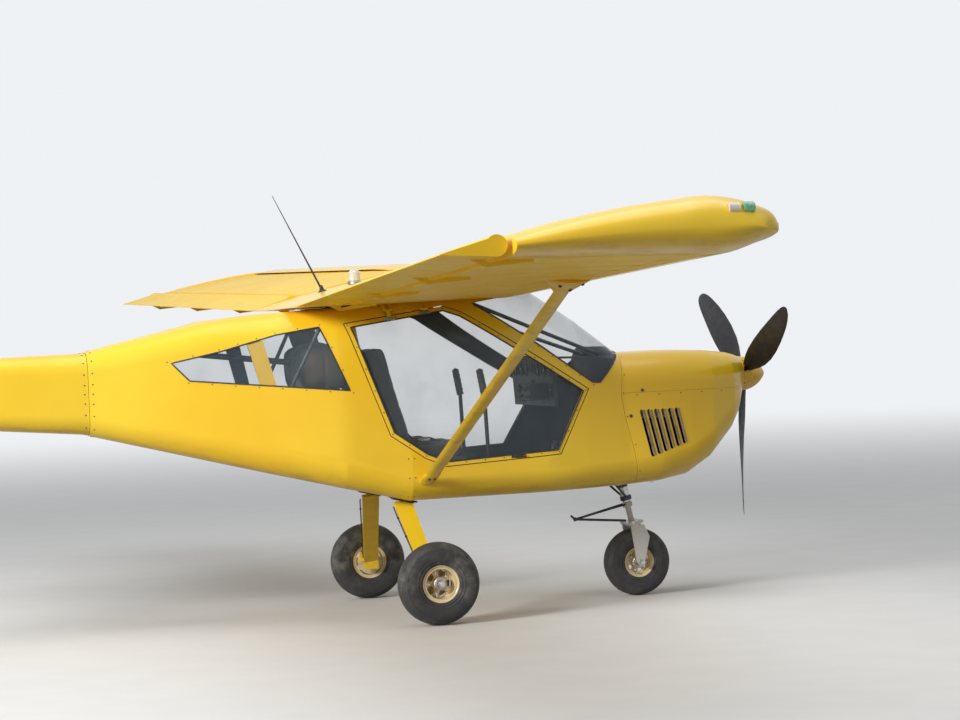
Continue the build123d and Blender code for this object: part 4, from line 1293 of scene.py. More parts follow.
class DoorFittingsOperator(bpy.types.Operator):
    """Adds the doors' handles and hinge straps"""

    bl_idname = "aircraft.door_fittings"
    bl_label = "Door fittings"

    def execute(self, context):
        both(self.side)
        return {"FINISHED"}

    def side(self, name, side):
        frame_node = (f"door_frame_{name}",)
        spot = on_side(frame_node, 1.44, 0.8635, side)
        if spot is None:
            raise RuntimeError("no door frame under the handle")
        turn = across_axis(spot[1])
        lever, mark, straps = Shape(), Shape(), Shape()
        lever.block(spot[0] + turn @ Vector((0, 0, 0.0015)), (0.084, 0.017, 0.004), 0.0018, turn, 3)
        lever.block(spot[0] + turn @ Vector((0.008, 0, 0.010)), (0.062, 0.010, 0.006), 0.0028, turn, 3)
        pivot = spot[0] + turn @ Vector((-0.018, 0, 0))
        lever.turned(ring_profile(0.0005, 0.0085, 0.0, 0.012, 0.002), pivot, spot[1], 24)
        piece(f"door_handle_{name}", lever, "dark", f"door_{name}", 35)
        mark.block(spot[0] + turn @ Vector((0.031, 0, 0.0135)), (0.016, 0.008, 0.003), 0.0012, turn, 2)
        piece(f"door_handle_mark_{name}", mark, "red", f"door_{name}", 35)
        for x in (0.76, 0.96):
            low = on_side(frame_node, x, (1638 + (x - 0.8) * 138 + 11) * MM, side)
            if low is None:
                continue
            strap_turn = across_axis(low[1])
            straps.block(low[0] + low[1] * 0.001, (0.058, 0.018, 0.003), 0.0012, strap_turn, 2)
            for along in (-0.02, 0.02):
                straps.screw(low[0] + strap_turn @ Vector((along, 0, 0.0025)), low[1], 0.0042)
        if straps.points:
            piece(f"door_hinge_straps_{name}", straps, "alloy", f"door_{name}", 30)


class StrutFittingsOperator(bpy.types.Operator):
    """Adds a sleeve at the foot of each lift strut, and bolts at both its ends"""

    bl_idname = "aircraft.strut_fittings"
    bl_label = "Strut fittings"

    # Distance from the strut's foot, and growth over the strut
    sleeve = (
        (0.052, -0.004), (0.054, 0.001), (0.058, 0.003), (0.112, 0.003), (0.116, 0.001), (0.118, -0.004),
    )

    def execute(self, context):
        both(self.side)
        return {"FINISHED"}

    def side(self, name, side):
        flip = Vector((1, -side, 1))
        run = (STRUT_TOP - STRUT_FOOT).normalized()
        long = Vector((1, run.x / -run.y, 0)).normalized()
        thick = long.cross(run).normalized()
        long, thick, way = long * flip, thick * flip, run * flip
        foot = STRUT_FOOT * flip
        sleeve = Shape()
        stations = [
            (foot + way * along, long * (0.043 + grow), thick * (0.016 + grow))
            for along, grow in self.sleeve
        ]
        ring = []
        for step in range(28):
            angle = 2 * math.pi * step / 28
            ring.append((math.cos(angle), math.copysign(abs(math.sin(angle)) ** 1.25, math.sin(angle))))
        sleeve.ribbon(stations, ring)
        piece(f"strut_sleeve_{name}", sleeve, "gloss")
        bolts = Shape()
        strut = (f"lift_strut_{name}",)
        length = (STRUT_TOP - STRUT_FOOT).length
        for up in (-1, 1):
            for shift in (-0.014, 0.014):
                found = hit(strut, foot + way * 0.085 + long * shift + thick * up * 0.2, thick * -up)
                if found is not None:
                    bolts.bolt(found[0] + thick * up * 0.003, thick * up, 0.0062, 0.006)
            for back, shift in ((0.10, 0.02), (0.055, -0.05), (0.055, 0.07)):
                middle = foot + way * (length - back) + long * shift
                found = hit(strut, middle + thick * up * 0.3, thick * -up)
                if found is not None:
                    bolts.bolt(found[0], found[1], 0.0068, 0.0065)
        piece(f"strut_bolts_{name}", bolts, "dark_steel", "airframe", 30)


class TapesOperator(bpy.types.Operator):
    """Lays the tapes over the ribs of wing, flaperons and tail"""

    bl_idname = "aircraft.tapes"
    bl_label = "Rib tapes"

    upright_tapes = (
        ("fin", "airframe", (1.52, 1.74, 1.96, 2.16)),
        ("rudder", "rudder", (1.66, 1.88, 2.10, 2.26)),
    )

    def execute(self, context):
        sizes = context.scene.aircraft_sizes
        self.section = strip_section(sizes.tape_width, 0.0011, 0.0006)
        self.pitch = sizes.rib_pitch
        both(self.wing)
        both(self.tailplane)
        self.upright()
        return {"FINISHED"}

    def chordwise(self, shape, names, y, front, rear, way, count):
        """A tape along one face, with its points closer together at both ends."""
        shares = [(1 - math.cos(math.pi * step / count)) / 2 for step in range(count + 1)]
        found = [from_above(names, front + (rear - front) * share, y, way) for share in shares]
        shape.laid(found, self.section)

    def wing(self, name, side):
        fixed, moved = Shape(), Shape()
        y = WING_LEAD.y + 0.05
        while y < WING_TIP_Y - 0.2:
            lead = WING_LEAD.x - (y - WING_LEAD.y) * WING_SWEEP
            rear = lead - WING_REAR * WING_CHORD
            for way in (-1, 1):
                self.chordwise(fixed, (f"wing_{name}",), side * y, lead - 0.004, rear + 0.006, way, 30)
                end = lead - WING_CHORD * 0.99
                self.chordwise(moved, (f"flaperon_{name}",), side * y, rear - 0.10, end, way, 8)
            y += self.pitch
        piece(f"wing_tapes_{name}", fixed, "doped", "airframe", 50)
        piece(f"flaperon_tapes_{name}", moved, "doped", f"flaperon_{name}", 50)

    def tailplane(self, name, side):
        fixed, moved = Shape(), Shape()
        low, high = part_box("tailplane")
        back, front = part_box("elevator")
        for y in (0.22, 0.46, 0.70, 0.94, 1.14):
            for way in (-1, 1):
                self.chordwise(fixed, ("tailplane",), side * y, high[0], low[0], way, 14)
                self.chordwise(moved, ("elevator",), side * y, front[0] - 0.03, back[0] + 0.004, way, 8)
        piece(f"tailplane_tapes_{name}", fixed, "doped", "airframe", 50)
        piece(f"elevator_tapes_{name}", moved, "doped", "elevator", 50)

    def upright(self):
        for node, body, heights in self.upright_tapes:
            low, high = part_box(node)
            shape = Shape()
            for z in heights:
                for side in (-1, 1):
                    line = [high[0] + (low[0] - high[0]) * step / 14 for step in range(15)]
                    shape.laid([on_side((node,), x, z, side) for x in line], self.section)
            piece(f"{node}_tapes", shape, "doped", body, 50)


class SeamScrewsOperator(bpy.types.Operator):
    """Sets the screws along the seams of hull and cowl, and the cowl's latches"""

    bl_idname = "aircraft.seam_screws"
    bl_label = "Seam screws"

    # Label, nodes, outline, shift in x and z, pitch, all in millimetres
    rows = (
        ("hull_seam", ("fuselage_rear",), SHELL_SEAM, (-16, 0), 92),
        ("tub_seam", ("fuselage_tub",), SHELL_SEAM, (16, 0), 92),
        ("roof_seam", ("cabin_roof", "fuselage_rear"), REAR_SEAM, (-17, -6), 92),
        ("cowl_seam", ("cowl_upper", "cowl_lower"), COWL_SEAM, (15, 0), 112),
        ("cowl_split", ("cowl_lower",), ((2180, 1164), (2860, 1164)), (0, 0), 150),
    )

    def execute(self, context):
        radius = context.scene.aircraft_sizes.screw_radius
        for name, side in SIDES:
            for label, names, outline, shift, pitch in self.rows:
                line = [(x + shift[0], z + shift[1]) for x, z in outline]
                shape = Shape()
                shape.screws(spots_on(names, line, side, pitch, False), radius)
                if shape.points:
                    piece(f"{label}_screws_{name}", shape, "dark_steel", "airframe", 30)
            latches = Shape()
            for x, z in ((2.216, 1.189), (2.138, 1.048)):
                spot = on_side(("cowl_upper", "cowl_lower", "fuselage_tub"), x, z, side)
                if spot is not None:
                    latches.turned(ring_profile(0.0005, 0.0095, -0.001, 0.0028, 0.001), spot[0], spot[1], 24)
                    turn = across_axis(spot[1])
                    latches.block(spot[0] + spot[1] * 0.0034, (0.013, 0.0024, 0.002), 0.0007, turn)
            piece(f"cowl_latches_{name}", latches, "dark_steel", "airframe", 30)
        self.boom()
        return {"FINISHED"}

    def boom(self):
        """Rivets round the joint between hull and tail boom."""
        shape = Shape()
        for x, names in ((-0.862, ("tail_boom",)), (-0.818, ("fuselage_rear",))):
            for step in range(22):
                angle = 2 * math.pi * step / 22
                out = Vector((0, math.cos(angle), math.sin(angle)))
                spot = hit(names, Vector((x, 0, 1.30)) + out * 2, -out)
                if spot is not None:
                    shape.screw(spot[0], spot[1], 0.0042)
        piece("boom_joint_rivets", shape, "dark_steel", "airframe", 30)


class LeadingEdgeOperator(bpy.types.Operator):
    """Wraps the wings' leading edges in their sheet, and rounds off the wing tips"""

    bl_idname = "aircraft.leading_edge"
    bl_label = "Leading edges and tips"

    # Shares of the chord behind the nose and above the chord line
    flat_top = ((0, 0), (0.09, 0.073), (0.28, 0.103), (0.55, 0.083), (0.79, 0.046))
    full_top = (
        (0, 0.012), (0.006, 0.042), (0.045, 0.077), (0.13, 0.108), (0.28, 0.114), (0.55, 0.089),
        (0.79, 0.046),
    )

    def execute(self, context):
        both(self.sheet)
        both(self.tip)
        return {"FINISHED"}

    def spot(self, y, back, up, setback=0.0):
        """A place on the wing from shares of the chord behind and above the leading edge."""
        out = y - WING_LEAD.y
        twist = WING_ROOT_TWIST + (WING_TIP_TWIST - WING_ROOT_TWIST) * out / (WING_TIP_Y - WING_LEAD.y)
        aft = setback + back * (WING_REAR * WING_CHORD - setback) / WING_REAR
        z = WING_LEAD.z + out * WING_RISE - aft * twist + up * WING_CHORD
        return Vector((WING_LEAD.x - out * WING_SWEEP - aft, y, z))

    def top(self, back, full):
        """Height of the upper face over the chord line, fuller at the nose by a share."""
        plain = arc_along(self.flat_top, back, 1)
        return plain + (arc_along(self.full_top, back, 1) - plain) * full

    def bottom(self, back, full=1.0):
        """Height of the lower face over the chord line."""
        if back > 0.25:
            return -0.045 + 0.027 * (back - 0.25) / 0.54
        plain = arc_along(((0, 0), (0.08, -0.037), (0.25, -0.045)), back, -1)
        return plain - 0.009 * full * math.exp(-(((back - 0.012) / 0.028) ** 2))

    def loop(self, rear, full, lift, sink):
        """Backs and heights from the rear of the upper face, round the nose, and along the lower face."""
        steps = 26
        backs = [rear * (1 - math.cos(math.pi / 2 * k / steps)) for k in range(steps, 0, -1)]
        upper = [(back, self.top(back, full) + lift) for back in backs]
        nose = [(-lift * 0.4 - full * 0.0022, full * share) for share in (0.024, 0.012, 0.002)]
        whole = rear > 0.5
        below = [back for back in reversed(backs) if whole or back < rear * 0.62]
        lower = [(back, self.bottom(back, full) - sink) for back in below]
        return upper + nose + lower

    def sheet(self, name, side):
        """A thin sheet that follows the CAD wing at the root and grows fuller over the first 0.9 m."""
        rows = []
        count = 60
        start, end = WING_LEAD.y + 0.004, TIP_JOIN_Y - 0.002
        for step in range(count + 1):
            y = start + (end - start) * step / count
            full = min(1.0, max(0.0, (y - start) / 0.9))
            full = full * full * (3 - 2 * full)
            outer = self.loop(0.335, full, 0.0010, 0.0009)
            inner = [(back + 0.0002, up - (0.0035 if up > 0 else -0.0035)) for back, up in reversed(outer)]
            rows.append([self.spot(y, back, up) for back, up in outer + inner])
        piece(f"leading_edge_sheet_{name}", self.skin_over(rows, side), "gloss", "airframe", 40)

    def tip(self, name, side):
        """The end of the wing, thinner and further back towards the tip."""
        rows = []
        count = 22
        for step in range(count + 1):
            share = math.sin(math.pi / 2 * step / count)
            y = TIP_JOIN_Y + (WING_TIP_Y - TIP_JOIN_Y) * share
            thick = max(0.035, (1 - share ** 2.3) ** 0.5)
            setback = 0.075 * share ** 6
            row = []
            for back, up in self.loop(WING_REAR, 1.0, 0.0006 * (1 - share), 0.0):
                edge = 0.42 * self.top(max(back, 0.0), 1.0) + 0.58 * self.bottom(max(back, 0.0))
                row.append(self.spot(y, back, up * thick + edge * (1 - thick), setback))
            rows.append(row)
        made = piece(f"rounded_tip_{name}", self.skin_over(rows, side), "gloss", "airframe", 40)
        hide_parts(f"wing_tip_{name}")

    def skin_over(self, rows, side):
        shape = Shape()
        size = (len(rows), len(rows[0]))
        points = [Vector((p.x, p.y * side, p.z)) for row in rows for p in row]
        shape.add(points, ends(*size) + bands(*size))
        return shape


def arc_along(corners, x, way):
    """Height at x of a line of arcs, each through three corners."""
    for first in range(0, len(corners) - 2, 2):
        if x <= corners[first + 2][0]:
            return arc_height(corners[first:first + 3], x, way)
    return corners[-1][1]


def arc_height(corners, x, way):
    """Height at x of the circle through three corners, on its upper (1) or lower (-1) half."""
    (ax, ay), (bx, by), (cx, cy) = corners
    first, second, third = (u * u + v * v for u, v in corners)
    turn = 2 * (ax * (by - cy) + bx * (cy - ay) + cx * (ay - by))
    ux = (first * (by - cy) + second * (cy - ay) + third * (ay - by)) / turn
    uy = (first * (cx - bx) + second * (ax - cx) + third * (bx - ax)) / turn
    reach = (ax - ux) ** 2 + (ay - uy) ** 2 - (x - ux) ** 2
    return uy + way * math.sqrt(max(reach, 0.0))


class PropellerOperator(bpy.types.Operator):
    """Makes the three twisted blades, the spinner's back plate and its screws"""

    bl_idname = "aircraft.propeller"
    bl_label = "Propeller"

    # Share of the radius, chord, thickness, twist in degrees, sweep of the middle line
    stations = (
        (0.070, 0.056, 0.040, 44, 0.000), (0.11, 0.060, 0.036, 43, 0.000), (0.16, 0.080, 0.028, 42, 0.002),
        (0.23, 0.112, 0.023, 39, 0.006), (0.32, 0.138, 0.019, 36, 0.009), (0.45, 0.156, 0.015, 30, 0.010),
        (0.58, 0.156, 0.013, 26, 0.007), (0.70, 0.144, 0.011, 23, 0.001), (0.80, 0.128, 0.0095, 20.5, -0.007),
        (0.88, 0.110, 0.008, 19, -0.015), (0.94, 0.086, 0.007, 18, -0.023),
        (0.98, 0.056, 0.005, 17.5, -0.030), (0.999, 0.016, 0.003, 17.5, -0.036),
    )

    def execute(self, context):
        low, high = box_of("propeller_blades")
        hub = Vector(((low.x + high.x) / 2, 0, THRUST_Z))
        radius = max(high.z - THRUST_Z, THRUST_Z - low.z, high.y)
        blades = Shape()
        for number in range(3):
            angle = math.radians(BLADE_ANGLE + 120 * number)
            out = Vector((0, math.sin(angle), math.cos(angle)))
            self.blade(blades, hub, out, radius)
        blades.turned(ring_profile(0.001, 0.054, -0.026, 0.026, 0.006), hub, X_AXIS, 40)
        made = piece("twisted_blades", blades, "blade", "propeller", 45)
        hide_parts("propeller_blades")
        plate = Shape()
        plate.turned(ring_profile(0.060, 0.1015, -0.002, 0.004, 0.0012), (2.940, 0, THRUST_Z), X_AXIS, 64)
        piece("spinner_back_plate", plate, "alloy", "propeller", 30)
        screws = Shape()
        for number in range(9):
            angle = math.radians(40 * number + 12)
            out = Vector((0, math.cos(angle), math.sin(angle)))
            spot = hit(("spinner",), Vector((2.957, 0, THRUST_Z)) + out * 0.5, -out)
            if spot is not None:
                screws.screw(spot[0], spot[1], 0.0038)
        piece("spinner_screws", screws, "dark_steel", "propeller", 30)
        return {"FINISHED"}

    def blade(self, shape, hub, out, radius):
        across = X_AXIS.cross(out).normalized()
        rows = []
        for share, chord, thick, twist, sweep in self.stations:
            lean = math.radians(twist)
            long = across * math.cos(lean) + X_AXIS * math.sin(lean)
            flat = X_AXIS * math.cos(lean) - across * math.sin(lean)
            rows.append((hub + out * share * radius + across * sweep, long * chord / 2, flat * thick / 2))
        section = []
        for step in range(24):
            angle = 2 * math.pi * step / 24
            lens = math.copysign(abs(math.sin(angle)) ** 1.15, math.sin(angle))
            share = 1.0 if lens > 0 else 0.55
            section.append((math.cos(angle), lens * share * (1 + 0.35 * math.cos(angle))))
        shape.ribbon(rows, section)


def cushion(name, shape, kind, voxel, cap, replaced):
    """A padded piece: a closed form, blown up as cloth with its seams held to a limit."""
    made = piece(name, shape, kind, "airframe", 80)
    swell(made, voxel, cap)
    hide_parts(replaced)
    return made


def applied(thing):
    """Applies the piece's modifiers to its mesh."""
    graph = bpy.context.evaluated_depsgraph_get()
    graph.update()
    mesh = bpy.data.meshes.new_from_object(thing.evaluated_get(graph))
    thing.modifiers.clear()
    thing.data = mesh


def swell(thing, voxel, cap):
    """Blows the piece up under a little pressure. No point moves further than the cap."""
    bpy.context.view_layer.objects.active = thing
    remesh = thing.modifiers.new("remesh", "REMESH")
    remesh.mode = "VOXEL"
    remesh.voxel_size = voxel
    applied(thing)
    start = [v.co.copy() for v in thing.data.vertices]
    cloth = thing.modifiers.new("cloth", "CLOTH")
    cloth.settings.use_pressure = True
    cloth.settings.uniform_pressure_force = 4
    cloth.settings.effector_weights.gravity = 0
    cloth.settings.quality = 3
    cloth.collision_settings.use_collision = False
    cloth.point_cache.frame_start = 1
    cloth.point_cache.frame_end = CLOTH_FRAMES
    for step in range(1, CLOTH_FRAMES + 1):
        bpy.context.scene.frame_set(step)
    applied(thing)
    for vertex, place in zip(thing.data.vertices, start):
        move = vertex.co - place
        if move.length > cap:
            vertex.co = place + move * (cap / move.length)
    bpy.context.scene.frame_set(1)
    smooth = thing.modifiers.new("finer", "SUBSURF")
    smooth.levels = smooth.render_levels = 1
    applied(thing)
    thing.data.polygons.foreach_set("use_smooth", [True] * len(thing.data.polygons))


def press(thing, depth_at):
    """Moves each point in along its normal by depth_at(point)."""
    for vertex in thing.data.vertices:
        vertex.co = vertex.co - vertex.normal * depth_at(vertex.co)
    thing.data.update()


def groove(distance, width, depth):
    """Depth of a soft groove at a distance from its line."""
    return depth * math.exp(-((distance / width) ** 2))


def mirrored_copy(thing, name, replaced):
    """The same cushion on the other side of the cabin."""
    mesh = thing.data.copy()
    mesh.transform(Matrix.Scale(-1, 4, Y_AXIS))
    mesh.flip_normals()
    copy = in_scene(name, mesh)
    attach(copy, "airframe")
    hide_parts(replaced)


def remember(thing):
    """Lets skin() and hit() find a new piece by its name."""
    skins[thing.name] = search_tree(thing.data)


class SeatsOperator(bpy.types.Operator):
    """Makes the seats' cushions, their seams and the harnesses"""

    bl_idname = "aircraft.seats"
    bl_label = "Seats and harnesses"

    def execute(self, context):
        self.belt = strip_section(context.scene.aircraft_sizes.belt_width, 0.0026, 0.0012)
        base = cushion(
            "seat_base_right", self.prism(SEAT_BASE), "seat", 0.0110, 0.014, "seat_right")
        back = cushion(
            "seat_back_right", self.prism(SEAT_BACK), "seat", 0.0125, 0.014, "seat_right")
        press(base, self.base_seams)
        press(back, self.back_seams)
        mirrored_copy(base, "seat_base_left", "seat_left")
        mirrored_copy(back, "seat_back_left", "seat_left")
        for name, side in SIDES:
            for part in ("base", "back"):
                remember(bpy.data.objects[f"seat_{part}_{name}"])
            self.harness(name, side)
        return {"FINISHED"}

    def prism(self, outline):
        """A cushion's plain form: its outline across the seat, with softened ends."""
        low, high = -0.472, -0.068
        count = len(outline)
        shape = Shape()
        inner = grown(list(outline), -9)
        rows = [(low, 0.86), (low + 0.02, 1.0), (high - 0.02, 1.0), (high, 0.86)]
        middle = (sum(x for x, _ in inner) / count, sum(z for _, z in inner) / count)
        points = [
            ((middle[0] + (x - middle[0]) * grow) * MM, y, (middle[1] + (z - middle[1]) * grow) * MM)
            for y, grow in rows for x, z in inner
        ]
        shape.add(points, ends(len(rows), count) + bands(len(rows), count))
        return shape

    def base_seams(self, at):
        return self.seams(at, 0.145, [abs(at.x - 0.93), abs(at.x - 1.05)])

    def back_seams(self, at):
        return self.seams(at, 0.135, [abs(at.z - 1.10), abs(at.z - 1.23), abs(at.z - 1.36)])

    def seams(self, at, half, across):
        """Depth of the grooves: two along the cushion, and others across it between those two."""
        out = abs(at.y + SEAT_Y)
        lines = [abs(out - half)] + (across if out <= half else [])
        return max(groove(distance, 0.006, 0.006) for distance in lines)

    def harness(self, name, side):
        base, back = (f"seat_base_{name}",), (f"seat_back_{name}",)
        belts, metal = Shape(), Shape()
        for shift in (-0.075, 0.075):
            found = []
            for step in range(4):
                found.append(from_above(back, 0.625 + 0.028 * step, side * SEAT_Y + shift))
            for step in range(22):
                share = step / 21
                y = side * SEAT_Y + shift * (1 - 0.75 * share)
                found.append(hit(back, (2.0, y, 1.465 - 0.43 * share), (-1, 0, 0)))
            for step in range(3):
                y = side * SEAT_Y + shift * 0.25 * (1 - step / 3)
                found.append(from_above(base, 0.945 + 0.02 * step, y))
            belts.laid(found, self.belt)
            found = []
            for step in range(12):
                share = step / 11
                y = side * SEAT_Y + math.copysign(0.185 - 0.165 * share, shift)
                found.append(from_above(base, 0.86 + 0.125 * math.sin(share * math.pi / 2), y))
            belts.laid(found, self.belt)
        seat = from_above(base, 0.992, side * SEAT_Y)
        if seat is None:
            raise RuntimeError("no cushion under the buckle")
        turn = across_axis(seat[1])
        metal.block(seat[0] + seat[1] * 0.011, (0.062, 0.052, 0.018), 0.005, turn, 3)
        metal.turned(ring_profile(0.0005, 0.015, 0.0, 0.006, 0.002), seat[0] + seat[1] * 0.019, seat[1], 28)
        for way in (-1, 1):
            tongue = seat[0] + turn @ Vector((-0.004, way * 0.036, 0.009))
            metal.block(tongue, (0.036, 0.026, 0.004), 0.0015, turn)
        piece(f"harness_{name}", belts, "belt", "airframe", 50)
        piece(f"harness_buckle_{name}", metal, "steel", "airframe", 30)


class BagOperator(bpy.types.Operator):
    """Makes the soft bag behind the seats, with its straps and zip"""

    bl_idname = "aircraft.bag"
    bl_label = "Bag"

    middle = Vector((0.445, 0, 1.395))
    strap_y = 0.145

    def execute(self, context):
        shape = Shape()
        shape.block(self.middle, (0.255, 0.560, 0.262), 0.055, None, 5)
        shape.points = [self.slump(point) for point in shape.points]
        bag = cushion("soft_bag", shape, "bag", 0.0150, 0.020, "rear_bag")
        press(bag, self.hollows)
        remember(bag)
        straps, metal = Shape(), Shape()
        for y in (-self.strap_y, self.strap_y):
            found = []
            for step in range(33):
                angle = math.radians(-58 + 296 * step / 32)
                out = Vector((math.cos(angle), 0, math.sin(angle)))
                found.append(hit(("soft_bag",), self.middle + Vector((0, y, 0)) + out, -out))
            straps.laid(found, strip_section(0.032, 0.0026, 0.001))
            spot = from_above(("soft_bag",), 0.52, y)
            if spot is not None:
                turn = across_axis(spot[1])
                metal.block(spot[0] + spot[1] * 0.005, (0.030, 0.042, 0.006), 0.002, turn, 2)
        found = [from_above(("soft_bag",), self.middle.x, -0.22 + 0.44 * step / 30) for step in range(31)]
        straps.laid(found, strip_section(0.018, 0.003, 0.001))
        spot = found[24]
        if spot is not None:
            metal.block(spot[0] + spot[1] * 0.005, (0.007, 0.026, 0.004), 0.0015, across_axis(spot[1]), 2)
        piece("bag_straps", straps, "belt", "airframe", 50)
        piece("bag_buckles", metal, "dark")
        return {"FINISHED"}

    def hollows(self, at):
        """Depth to which the straps and the zip pull the fabric in."""
        strap = groove(abs(at.y) - self.strap_y, 0.020, 0.007)
        return max(strap, groove(at.x - self.middle.x, 0.008, 0.004))

    def slump(self, point):
        """Leans and sags the top of the bag a little, more at its middle."""
        over = max(0.0, point.z - self.middle.z) / 0.13
        drop = over * (0.022 * math.cos(point.y * 4.2) + 0.010 * math.sin(point.x * 17 + point.y * 9))
        return Vector((point.x - 0.012 * over, point.y * (1 - 0.04 * over), point.z - drop))


class PanelOperator(bpy.types.Operator):
    """Fits the dials, the two radios, the switches and the edge roll to the panel"""

    bl_idname = "aircraft.instruments"
    bl_label = "Instruments"

    # y, height and radius of the dials on the panel's face
    dials = (
        (-0.345, 1.325, 0.039), (-0.245, 1.325, 0.039), (-0.115, 1.325, 0.039), (0.0, 1.335, 0.028),
        (0.115, 1.325, 0.039), (0.225, 1.325, 0.039), (0.335, 1.325, 0.039), (-0.345, 1.215, 0.028),
        (0.115, 1.215, 0.028), (0.200, 1.215, 0.028), (0.285, 1.215, 0.028), (0.0, 1.240, 0.028),
    )

    def execute(self, context):
        bezels, faces, marks = Shape(), Shape(), Shape()
        for number, (y, z, radius) in enumerate(self.dials):
            spot = hit(("instrument_panel",), (1.2, y, z), (1, 0, 0))
            if spot is None:
                raise RuntimeError("no panel behind a dial")
            point, normal = spot
            bezels.turned(ring_profile(radius * 0.80, radius, 0.0, 0.007, 0.002), point, normal, 36)
            faces.turned([(radius * 0.84, 0.0), (radius * 0.84, 0.0018), (0, 0.0018)], point, normal, 32)
            up = (Z_AXIS - normal * normal.z).normalized()
            across = normal.cross(up)
            for tick in range(16):
                angle = 2 * math.pi * tick / 16
                out = up * math.cos(angle) + across * math.sin(angle)
                reach = 0.72 if tick % 4 else 0.66
                self.bar(marks, point, normal, out, radius * reach, radius * 0.79, 0.0008)
            angle = 0.7 + number * 1.35
            out = up * math.cos(angle) + across * math.sin(angle)
            self.bar(marks, point, normal, out, -radius * 0.12, radius * 0.60, 0.0011)
            for corner in range(4):
                angle = math.pi / 4 + corner * math.pi / 2
                out = up * math.cos(angle) + across * math.sin(angle)
                bezels.screw(point + out * radius * 1.12, normal, 0.0026)
        piece("dial_bezels", bezels, "dark")
        piece("dial_faces", faces, "dial")
        piece("dial_marks", marks, "white")
        self.radio()
        self.switches()
        roll = Shape()
        edge = [(1.694, -0.415 + 0.83 * k / 30, 1.397 + 0.002 * math.sin(k * 1.7)) for k in range(31)]
        roll.tube(edge, 0.0085, 14)
        piece("panel_edge_roll", roll, "seal", "airframe", 40)
        return {"FINISHED"}

    def bar(self, shape, point, normal, out, start, end, half):
        """A thin raised mark on a dial, from start to end along out."""
        side = normal.cross(out) * half
        corners = [point + out * start - side, point + out * start + side]
        corners += [point + out * end + side, point + out * end - side]
        shape.add([corner + normal * height for height in (0.0019, 0.0027) for corner in corners],
                  [(0, 1, 2, 3), (7, 6, 5, 4), (0, 4, 5, 1), (1, 5, 6, 2), (2, 6, 7, 3), (3, 7, 4, 0)])

    def radio(self):
        face, knobs, glass = Shape(), Shape(), Shape()
        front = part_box("instrument_panel")[0][0]
        for low, high in ((1.204, 1.246), (1.160, 1.201)):
            z = (low + high) / 2
            face.block((front - 0.001, -0.2, z), (0.006, 0.172, high - low - 0.002), 0.0018, None, 2)
            glass.block((front - 0.0042, -0.205, z + 0.004), (0.002, 0.080, 0.018), 0.0006, None, 2)
            for y in (-0.272, -0.130):
                knobs.turned(
                    [(0.0105, 0.0), (0.0105, 0.007), (0.0085, 0.0075), (0.0078, 0.015), (0.0066, 0.0165),
                     (0, 0.0165)],
                    (front - 0.003, y, z), (-1, 0, 0), 24)
            for number in range(4):
                key = (front - 0.0055, -0.169 - number * 0.0175, z - 0.013)
                knobs.block(key, (0.004, 0.012, 0.005), 0.0012)
        piece("radio_faces", face, "dark")
        piece("radio_knobs", knobs, "seal")
        piece("radio_windows", glass, "dial")

    def switches(self):
        plates, levers = Shape(), Shape()
        for number in range(8):
            y = 0.10 + 0.034 * number
            spot = hit(("instrument_panel",), (1.2, y, 1.150), (1, 0, 0))
            if spot is None:
                continue
            point, normal = spot
            plates.turned(ring_profile(0.0015, 0.0075, 0.0, 0.0035, 0.001), point, normal, 6)
            tilt = (normal + Z_AXIS * (0.45 if number % 3 else -0.45)).normalized()
            levers.tube([point, point + tilt * 0.010, point + tilt * 0.019], [0.0018, 0.0022, 0.0031], 10)
        piece("switch_nuts", plates, "steel", "airframe", 30)
        piece("switch_levers", levers, "alloy", "airframe", 30)


